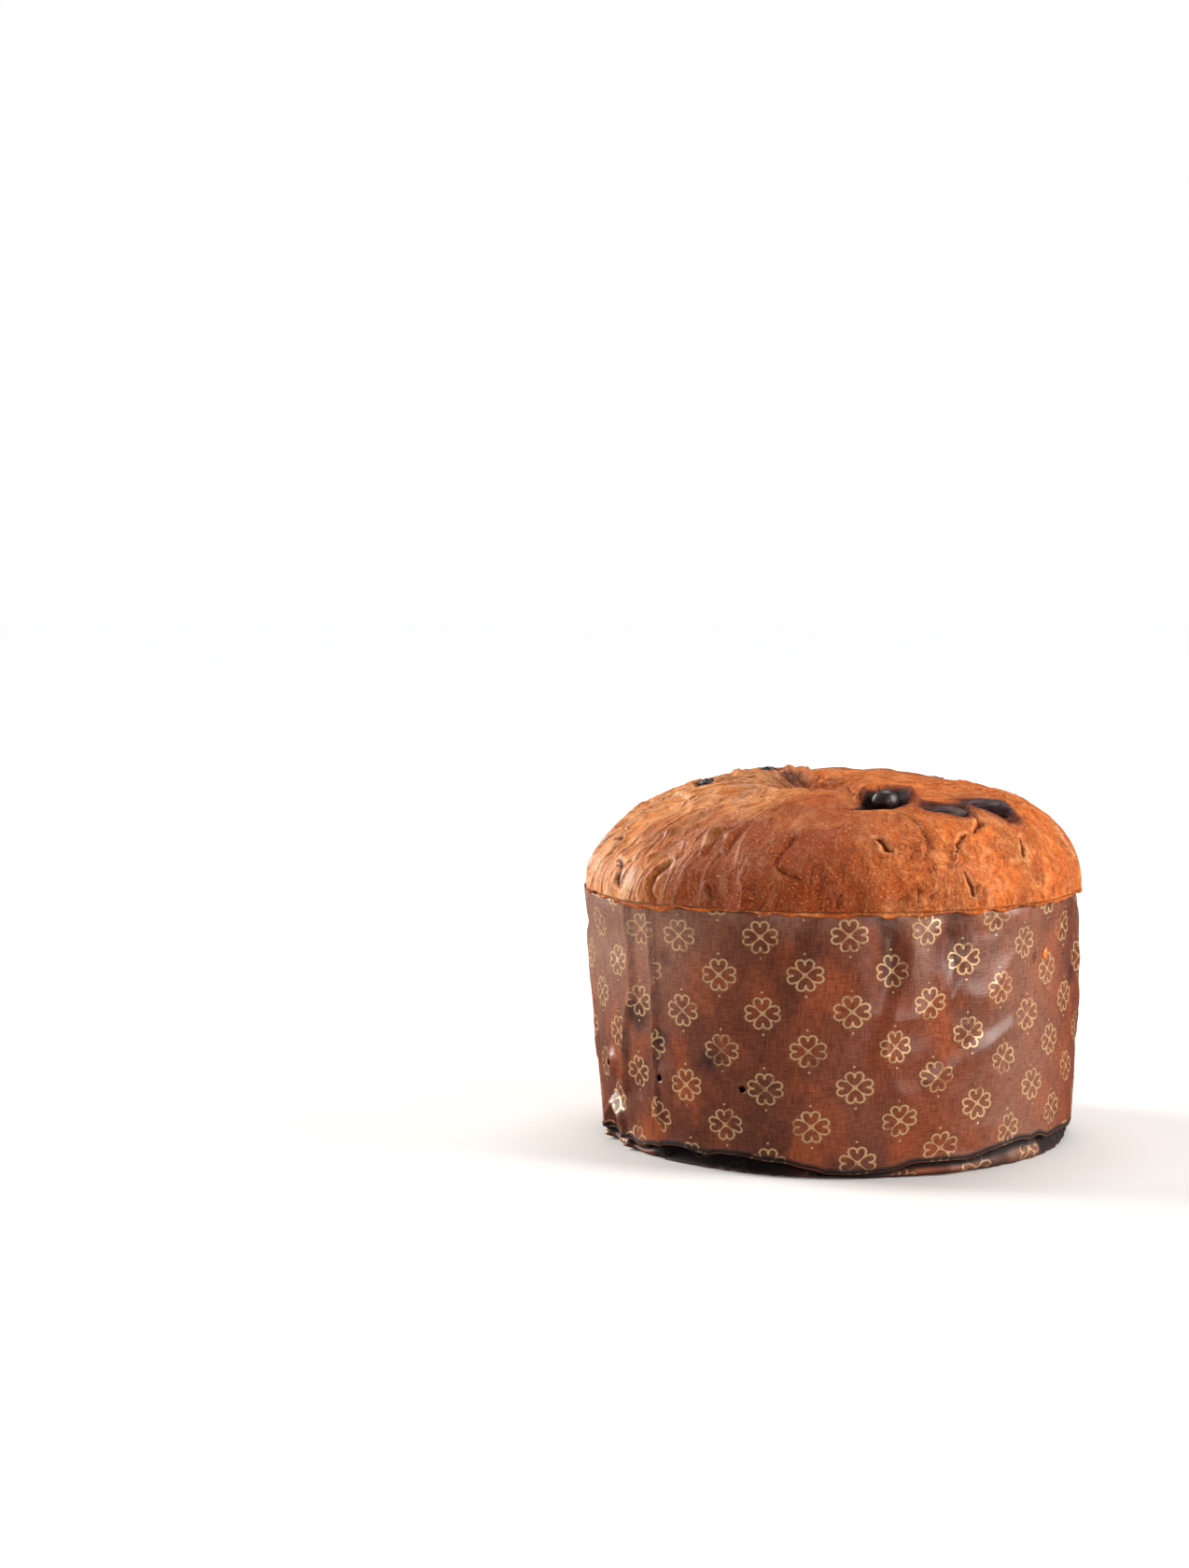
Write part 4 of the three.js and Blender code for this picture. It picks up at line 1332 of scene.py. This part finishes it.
def paper_finish(settings):
    """Grease-soaked baking paper: brown, with an embossed linen and a worn pale-gold print. Painted shade
    darkens its tucked foot and the valleys of its flutes; it is paler where dry and as painted sheen on its
    flute crests and sides, with painted highlights along its creases.
    """
    material, tree, shader = new_finish("printed_baking_paper", Specular_IOR_Level=0.45)
    sheet = node(tree, "UVMap", uv_map="Unrolled").outputs[0]
    place = object_mm(tree)
    cos, sin = math.cos(PRINT_TILT), math.sin(PRINT_TILT)
    start = (
        -(PRINT_START[0] * cos + PRINT_START[1] * sin),
        -(-PRINT_START[0] * sin + PRINT_START[1] * cos),
        0.0,
    )
    lattice_place = stretched(tree, sheet, (1, 1, 1), turn=-PRINT_TILT, shift=start)
    inputs = {"Vector": lattice_place, "Column": settings.column / MM, "Row": settings.row / MM}
    ornament = use_group(tree, group("ornament"), inputs)["Mask"]
    linen = use_group(tree, group("linen"), {"Vector": sheet, "Thread": settings.thread / MM})

    soaked = grain(tree, stretched(tree, place, (1, 1, 0.5)), 0.035, 3.0, 0.5)
    patches = grain(tree, stretched(tree, place, (1, 1, 0.6), shift=(9, 40, 2)), 0.08, 3.0, 0.55)
    lift, crease = point_value(tree, "lift"), point_value(tree, "crease")
    height = node(tree, "SeparateXYZ", {0: sheet}).outputs["Y"]
    top_edge = fade(tree, calc(tree, "MULTIPLY_ADD", patches, 30.0, height), RIM + 4, RIM + 16)
    flute = point_value(tree, "flute")
    # Paler at the top edge, where the band leans out, at the dry places and on flute crests: partly dry
    # paper, partly painted sheen.
    dry_and_sheen = calc(tree, "MAXIMUM", fade(tree, lift, 0.05, 0.7, 0.0, 0.8), calc(tree, "MULTIPLY", top_edge, 0.6))
    dry_and_sheen = calc(tree, "MAXIMUM", dry_and_sheen, fade(tree, flute, 0.3, 1.6, 0.0, 0.6))
    colour = layered(
        tree,
        paint(settings.soaked),
        (soaked, 0.4, 0.6, 1.0, settings.brown),
        (patches, 0.44, 0.72, 0.75, settings.ruddy),
    )
    colour = mixed(tree, dry_and_sheen, colour, paint(settings.dry_and_sheen))
    # Painted shade in the valleys of the flutes.
    colour = layered(tree, colour, (flute, -0.3, -1.7, 0.65, "2C1208"))
    colour = mixed(tree, calc(tree, "MULTIPLY_ADD", linen["Weave"], -0.36, 0.36), colour, paint("3A1206"))
    colour = mixed(tree, calc(tree, "MULTIPLY", linen["Weave"], 0.1), colour, paint("C48A66"))
    stain = calc(tree, "ADD", point_value(tree, "stain"), calc(tree, "MULTIPLY_ADD", patches, 0.6, -0.3))
    under = point_value(tree, "under")
    colour = layered(
        tree,
        colour,
        (stain, 0.2, 0.9, 0.75, "231419"),
        # Painted highlight along the crests of creases and folds.
        (crease, 0.4, 1.0, 0.3, "C9A795"),
        # Painted shade: near black in the recess under the crimped corner, partly grease-darkened paper.
        (under, 0.1, 0.9, 0.97, "0A0403"),
    )

    worn = grain(tree, sheet, 0.09, 3.0, 0.6)
    rubbed = grain(tree, sheet, 1.3, 2.0, 0.6)
    wear = calc(tree, "ADD", worn, calc(tree, "MULTIPLY_ADD", rubbed, 0.5, -0.25))
    ink = calc(tree, "MULTIPLY", ornament, fade(tree, wear, 0.33, 0.52, 0.2, 0.85))
    ink = calc(tree, "MULTIPLY", ink, fade(tree, point_value(tree, "inside"), 0.4, 0.6, 1.0, 0.0))
    # The print fades out in the recess's painted shade.
    ink = calc(tree, "MULTIPLY", ink, fade(tree, under, 0.1, 0.8, 1.0, 0.05))
    colour = mixed(tree, ink, colour, paint(settings.gold))
    rough = fade(tree, patches, 0.3, 0.7, 0.38, 0.28)
    rough = calc(tree, "MULTIPLY_ADD", linen["Weave"], 0.06, rough)
    rough = calc(tree, "MULTIPLY_ADD", under, 0.5, rough)
    metal = calc(tree, "MULTIPLY", ink, 0.5)
    feed(tree, shader, {"Base Color": colour, "Roughness": rough, "Metallic": metal})
    relief = calc(tree, "MULTIPLY_ADD", ink, 0.25, linen["Height"])
    raise_surface(tree, shader, relief, 0.14, 0.7)
    return material


def base_finish(settings):
    """The plain paper under the loaf: the band's paper without print, with grease rings."""
    material, tree, shader = new_finish("base_baking_paper", Specular_IOR_Level=0.5, Roughness=0.5)
    place = object_mm(tree)
    linen = use_group(tree, group("linen"), {"Vector": place, "Thread": settings.thread / MM})
    colour = layered(
        tree,
        paint(settings.soaked),
        (mottle(tree, place, 30.0), 0.35, 0.65, 1.0, settings.brown),
        (mottle(tree, place, 8.0), 0.5, 0.8, 0.6, settings.ruddy),
        (linen["Weave"], 0.9, 0.1, 0.4, "3A160B"),
    )
    feed(tree, shader, {"Base Color": colour})
    raise_surface(tree, shader, linen["Height"], 0.15, 0.7)
    return material


# ---------------------------------------------------------------- raisins and the crumb of peel

RAISIN_ROWS, RAISIN_COLUMNS = 48, 72


def blob(rows, columns):
    """Directions of a ball's grid, from its top pole down, and its faces."""
    tilt = np.linspace(0, math.pi, rows + 2)[1:-1, None]
    turn = np.arange(columns) / columns * 2 * math.pi
    ways = stack(np.sin(tilt) * np.cos(turn), np.sin(tilt) * np.sin(turn), np.cos(tilt) + 0 * turn)
    ways = np.concatenate([ways.reshape(-1, 3), [[0, 0, 1], [0, 0, -1]]])
    count, ring = rows * columns, np.arange(columns)
    caps = (cap_faces(count, ring, True), cap_faces(count + 1, ring + (rows - 1) * columns, False))
    return ways, round_faces(rows, columns), np.concatenate(caps)


def build_raisin(name, seed):
    """A wrinkled, bent berry: a ball pulled to its half-sizes, with grooves along its length."""
    half, heading, bend, wrinkle = RAISINS[name]
    ways, quads, triangles = blob(RAISIN_ROWS, RAISIN_COLUMNS)
    drawn_out = ways * (1.1, 3.2, 3.2) + 0.35 * stack(*(noise(ways, 0.8, seed + k) for k in range(3)))
    grooves = np.abs(noise(drawn_out, 0.62, seed + 5)) ** 0.7
    dents = fractal(ways + seed, 0.9, 2, seed + 6)
    size = 1 - 2.2 * wrinkle * (0.42 - grooves) + (0.05 + 0.6 * wrinkle) * dents
    points = ways * size[:, None] * half
    points[:, 1] *= 1 - 0.3 * (points[:, 0] / half[0]) ** 2
    sideways = bend * half[1] * ((points[:, 0] / half[0]) ** 2 - 0.4)
    points = points + stack(0, sideways, 0)
    points = turned(points, math.radians(heading))
    points = points + raisin_places()[name] + (0, 0, RAISIN_LIFT.get(name, 0.0))
    return make_piece(name + "_skin", points, quads, triangles, {}, {"groove_shade": 1 - grooves})


def raisin_finish(settings):
    """Raisin skin: near-black, glossy on its ridges, with painted shade in its grooves and a little bloom."""
    material, tree, shader = new_finish(
        "raisin_skin", Specular_IOR_Level=0.5, Coat_Weight=0.12, Coat_Roughness=0.25
    )
    place = object_mm(tree)
    specks = grain(tree, place, 1.2, 3.0, 0.6)
    colour = layered(
        tree,
        paint(settings.dark),
        (mottle(tree, place, 3.0), 0.4, 0.7, 1.0, settings.brown),
        (specks, 0.55, 0.8, 0.3, "4A4A50"),
        # Painted shade: darker in the grooves.
        (point_value(tree, "groove_shade"), 0.4, 0.9, 0.6, "0B0706"),
    )
    feed(tree, shader, {"Base Color": colour, "Roughness": fade(tree, specks, 0.3, 0.7, 0.32, 0.5)})
    raise_surface(tree, shader, specks, 0.18, 0.6)
    return material


def charred_finish(settings):
    """A raisin burnt on to the crust: dull purple-brown char, streaked along the crust."""
    material, tree, shader = new_finish("charred_raisin_skin", Specular_IOR_Level=0.35)
    place = object_mm(tree)
    streaks = grain(tree, stretched(tree, place, (0.25, 1.0, 1.0), turn=math.radians(20)), 0.7, 3.0, 0.6)
    patches = mottle(tree, place, 3.5)
    colour = layered(
        tree,
        paint("2C1B1A"),
        (patches, 0.35, 0.7, 1.0, "4C3230"),
        (streaks, 0.5, 0.72, 0.55, "76595A"),
        (streaks, 0.46, 0.3, 0.6, settings.dark),
    )
    feed(tree, shader, {"Base Color": colour, "Roughness": fade(tree, patches, 0.3, 0.7, 0.62, 0.48)})
    raise_surface(tree, shader, streaks, 0.3, 0.6)
    return material


def build_peel_crumb():
    """A crumb of candied peel: a small ball with flattened sides, squashed on to the paper."""
    low, high = node_box("peel_crumb")
    middle = (low + high) / 2 - AXIS
    turn = math.atan2(middle[1], middle[0])
    ways, quads, triangles = blob(20, 28)
    boxy = np.sign(ways) * np.abs(ways) ** 0.8
    size = 1 + 0.22 * fractal(ways, 0.9, 2, 201)
    points = boxy * size[:, None] * (0.75, 1.15, 1.85)
    points = points + stack(-0.25, 0.28 * points[:, 2], 0)
    return make_piece("candied_peel_crumb", turned(points, turn) + middle, quads, triangles, {}, {})


def peel_finish(settings):
    """Candied orange peel: syrupy and half clear, deeper orange in places."""
    material, tree, shader = new_finish(
        "candied_peel", Roughness=0.22, Coat_Weight=0.5, Subsurface_Weight=0.35, Subsurface_Scale=0.0015
    )
    patches = mottle(tree, object_mm(tree), 1.6)
    colour = layered(tree, paint(settings.peel), (patches, 0.4, 0.65, 1.0, "E88A3C"))
    feed(tree, shader, {"Base Color": colour})
    raise_surface(tree, shader, patches, 0.25, 0.6)
    return material


# ---------------------------------------------------------------- stage

CAMERA_PLACE = (-3.0, -1039.0, 211.6)  # on the loaf's axis
CAMERA_AIM = (-86.0, 0.0, 122.5)
SENSOR = 36.0
FLOOR_SIDES = 96
FLOOR_RADII = (6000.0, 2500.0, 1000.0, 300.0)
LAMP_AIM = (0, 0, 0.06)

# name, place in metres, size in metres, power, colour
SOFTBOXES = (
    ("window_left", (-1.45, 0.5, 0.7), (0.8, 1.1), 46.0, (1.0, 0.97, 0.93)),
    ("window_right", (1.5, -0.25, 0.75), (0.8, 1.1), 35.0, (1.0, 0.97, 0.93)),
    ("ceiling", (0.1, 0.45, 1.6), (1.0, 0.8), 12.0, (1.0, 1.0, 1.0)),
    ("front_fill", (0.78, -1.6, 0.3), (0.32, 0.7), 8.0, (1.0, 0.93, 0.88)),
)


def aimed(holder, place, aim):
    """Puts a lamp or camera at a place and turns it to another."""
    holder.location = place
    holder.rotation_euler = (aim - place).to_track_quat("-Z", "Y").to_euler()
    return holder


def softbox(name, place, size, power, colour):
    """A rectangular area light, aimed at the middle of the loaf."""
    lamp = bpy.data.lights.new(name, "AREA")
    lamp.shape = "RECTANGLE"
    lamp.size, lamp.size_y = size
    lamp.energy, lamp.color = power, colour
    aimed(put_in_scene(name, lamp), Vector(place), Vector(LAMP_AIM))


def build_floor(colour):
    """A wide round table top that glows more and more towards its edge, to meet the background."""
    turn = np.arange(FLOOR_SIDES) / FLOOR_SIDES * 2 * math.pi
    points = polar(np.array(FLOOR_RADII)[:, None], turn).reshape(-1, 3)
    points = np.concatenate([points, [[0, 0, 0]]])
    quads = round_faces(4, FLOOR_SIDES)
    triangles = cap_faces(len(points) - 1, np.arange(FLOOR_SIDES) + 3 * FLOOR_SIDES, True)
    floor = make_piece("table_top", points, quads[:, ::-1], triangles, {}, {})
    material, tree, shader = new_finish(
        "pale_table", Roughness=0.65, Specular_IOR_Level=0.25, Emission_Strength=1.0
    )
    place = object_mm(tree)
    pale = layered(tree, paint(colour), (grain(tree, place, 0.004), 0.4, 0.6, 0.4, "F6F5F4"))
    glow = fade(tree, vector_calc(tree, "LENGTH", place), 250.0, 1800.0, 0.0, 0.9)
    glow = node(tree, "CombineColor", {k: glow for k in (0, 1, 2)}).outputs[0]
    feed(tree, shader, {"Base Color": pale, "Emission Color": glow})
    floor.data.materials.append(material)
    floor.visible_glossy = False


def build_world(strength):
    """Even light from all round, with a white background behind the loaf."""
    world = bpy.data.worlds.new("studio")
    world.use_nodes = True
    tree = world.node_tree
    tree.nodes.clear()
    fill = node(tree, "Background", {"Color": (0.93, 0.95, 1.0, 1.0), "Strength": strength})
    behind = node(tree, "Background", {"Color": (1.0, 1.0, 1.0, 1.0), "Strength": 1.0})
    seen = node(tree, "LightPath").outputs["Is Camera Ray"]
    both = node(tree, "MixShader", {0: seen, 1: fill.outputs[0], 2: behind.outputs[0]})
    node(tree, "OutputWorld", {"Surface": both.outputs[0]})
    bpy.context.scene.world = world


def build_camera(lens):
    """The camera, in front of the loaf and a little above it."""
    camera = bpy.data.cameras.new("camera")
    camera.sensor_width = SENSOR
    camera.lens = lens
    place, aim = (Vector(to_metres(spot)) for spot in (CAMERA_PLACE, CAMERA_AIM))
    bpy.context.scene.camera = aimed(put_in_scene("camera", camera), place, aim)
    bpy.context.scene.view_settings.view_transform = "Standard"


# ---------------------------------------------------------------- settings


def colour_setting(name, description, code):
    """A colour property whose default is a hex colour."""
    return bpy.props.FloatVectorProperty(
        name=name, description=description, subtype="COLOR", size=3, min=0, max=1, default=paint(code)[:3]
    )


def length_setting(name, description, millimetres):
    """A length property, given in millimetres and kept in metres."""
    return bpy.props.FloatProperty(
        name=name, description=description, subtype="DISTANCE", unit="LENGTH", default=millimetres * MM, min=0
    )


class PanettoneCrustSettings(bpy.types.PropertyGroup):
    """Colours of the baked crust."""

    mid: colour_setting("Mid", "The crust's main colour", "CC5E16")
    deep: colour_setting("Deep", "The crust in its darker patches", "9E4816")
    pale: colour_setting("Pale", "The crust where it is stretched thin", "EC9C56")
    ruddy: colour_setting("Ruddy", "The crust in its reddish patches", "B85226")


class PanettonePaperSettings(bpy.types.PropertyGroup):
    """Colours and sizes of the paper and its print."""

    brown: colour_setting("Brown", "The paper's main colour", "7C3515")
    soaked: colour_setting("Soaked", "The paper where it is soaked with butter", "5E250E")
    ruddy: colour_setting("Ruddy", "The paper where the crumb shows through", "A44A1C")
    # Also the colour of the painted sheen on the band's sides and flute crests.
    dry_and_sheen: colour_setting("Dry", "The paper where it stands off the loaf", "94705F")
    gold: colour_setting("Gold", "The print", "DDB686")
    column: length_setting("Column", "Distance between columns of the print", 14.8)
    row: length_setting("Row", "Distance between rows of the print", 25.1)
    thread: length_setting("Thread", "Width of a thread of the embossed linen", 0.55)


class PanettoneFruitSettings(bpy.types.PropertyGroup):
    """Colours of the raisins and the peel."""

    dark: colour_setting("Dark", "A raisin's skin", "1C1210")
    brown: colour_setting("Brown", "A raisin's skin in its lighter patches", "3A2218")
    peel: colour_setting("Peel", "Candied peel", "D9691E")


class PanettoneStageSettings(bpy.types.PropertyGroup):
    """The table, light and camera."""

    table: colour_setting("Table", "The table top", "EDECEA")
    daylight: bpy.props.FloatProperty(
        name="Daylight", description="Strength of the light from all round", default=0.1, min=0
    )
    lens: bpy.props.FloatProperty(
        name="Lens",
        description="The camera's focal length",
        subtype="DISTANCE_CAMERA",
        unit="CAMERA",
        default=67.76,
        min=1,
    )


# ---------------------------------------------------------------- operators


class BuildLoaf(bpy.types.Operator):
    """Makes the baked loaf"""

    bl_idname = "panettone.build_loaf"
    bl_label = "Loaf"

    def execute(self, context):
        loaf = build_loaf()
        stands_for(loaf, "loaf", "crust", crust_finish(context.scene.panettone_crust))
        return {"FINISHED"}


class BuildPaper(bpy.types.Operator):
    """Makes the printed paper band, and finishes the paper under the loaf"""

    bl_idname = "panettone.build_paper"
    bl_label = "Paper mould"

    def execute(self, context):
        settings = context.scene.panettone_paper
        band = build_band()
        stands_for(band, "mould_wall", "printed_paper", paper_finish(settings))
        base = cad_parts["mould_base"]
        base.data.materials.clear()
        base.data.materials.append(base_finish(settings))
        return {"FINISHED"}


class BuildRaisins(bpy.types.Operator):
    """Makes the raisins on the crust"""

    bl_idname = "panettone.build_raisins"
    bl_label = "Raisins"

    def execute(self, context):
        glossy = raisin_finish(context.scene.panettone_fruit)
        charred = charred_finish(context.scene.panettone_fruit)
        for order, name in enumerate(RAISINS):
            raisin = build_raisin(name, 300 + 20 * order)
            stands_for(raisin, name, "raisin_skin", charred if name in CHARRED else glossy)
        return {"FINISHED"}


class BuildPeel(bpy.types.Operator):
    """Makes the crumb of candied peel on the paper"""

    bl_idname = "panettone.build_peel"
    bl_label = "Peel"

    def execute(self, context):
        crumb = build_peel_crumb()
        finish = peel_finish(context.scene.panettone_fruit)
        stands_for(crumb, "peel_crumb", "candied_peel", finish)
        return {"FINISHED"}


class BuildStage(bpy.types.Operator):
    """Makes the table top, the lights and the camera"""

    bl_idname = "panettone.build_stage"
    bl_label = "Stage"

    def execute(self, context):
        settings = context.scene.panettone_stage
        build_floor(settings.table)
        build_world(settings.daylight)
        for lamp in SOFTBOXES:
            softbox(*lamp)
        build_camera(settings.lens)
        return {"FINISHED"}


class PanettonePanel(bpy.types.Panel):
    """The panel in the 3D view's sidebar"""

    bl_idname = "VIEW3D_PT_panettone"
    bl_label = "Panettone"
    bl_space_type = "VIEW_3D"
    bl_region_type = "UI"
    bl_category = "Panettone"

    def draw(self, context):
        for settings, operators in PANEL_ROWS:
            group_of = getattr(context.scene, settings)
            for key in group_of.__annotations__:
                self.layout.prop(group_of, key)
            for operator in operators:
                self.layout.operator(operator.bl_idname)


SETTINGS = {
    "panettone_crust": PanettoneCrustSettings,
    "panettone_paper": PanettonePaperSettings,
    "panettone_fruit": PanettoneFruitSettings,
    "panettone_stage": PanettoneStageSettings,
}
PANEL_ROWS = (
    ("panettone_crust", (BuildLoaf,)),
    ("panettone_paper", (BuildPaper,)),
    ("panettone_fruit", (BuildRaisins, BuildPeel)),
    ("panettone_stage", (BuildStage,)),
)
OPERATORS = (BuildLoaf, BuildPaper, BuildRaisins, BuildPeel, BuildStage)


def register():
    for kind in (*SETTINGS.values(), *OPERATORS, PanettonePanel):
        bpy.utils.register_class(kind)
    for name, kind in SETTINGS.items():
        setattr(bpy.types.Scene, name, bpy.props.PointerProperty(type=kind))


def unregister():
    for name in SETTINGS:
        delattr(bpy.types.Scene, name)
    for kind in (PanettonePanel, *reversed(OPERATORS), *reversed(list(SETTINGS.values()))):
        bpy.utils.unregister_class(kind)


def main():
    """Builds every piece in turn."""
    register()
    bpy.ops.panettone.build_loaf()
    bpy.ops.panettone.build_paper()
    bpy.ops.panettone.build_raisins()
    bpy.ops.panettone.build_peel()
    bpy.ops.panettone.build_stage()


if __name__ == "__main__":
    main()
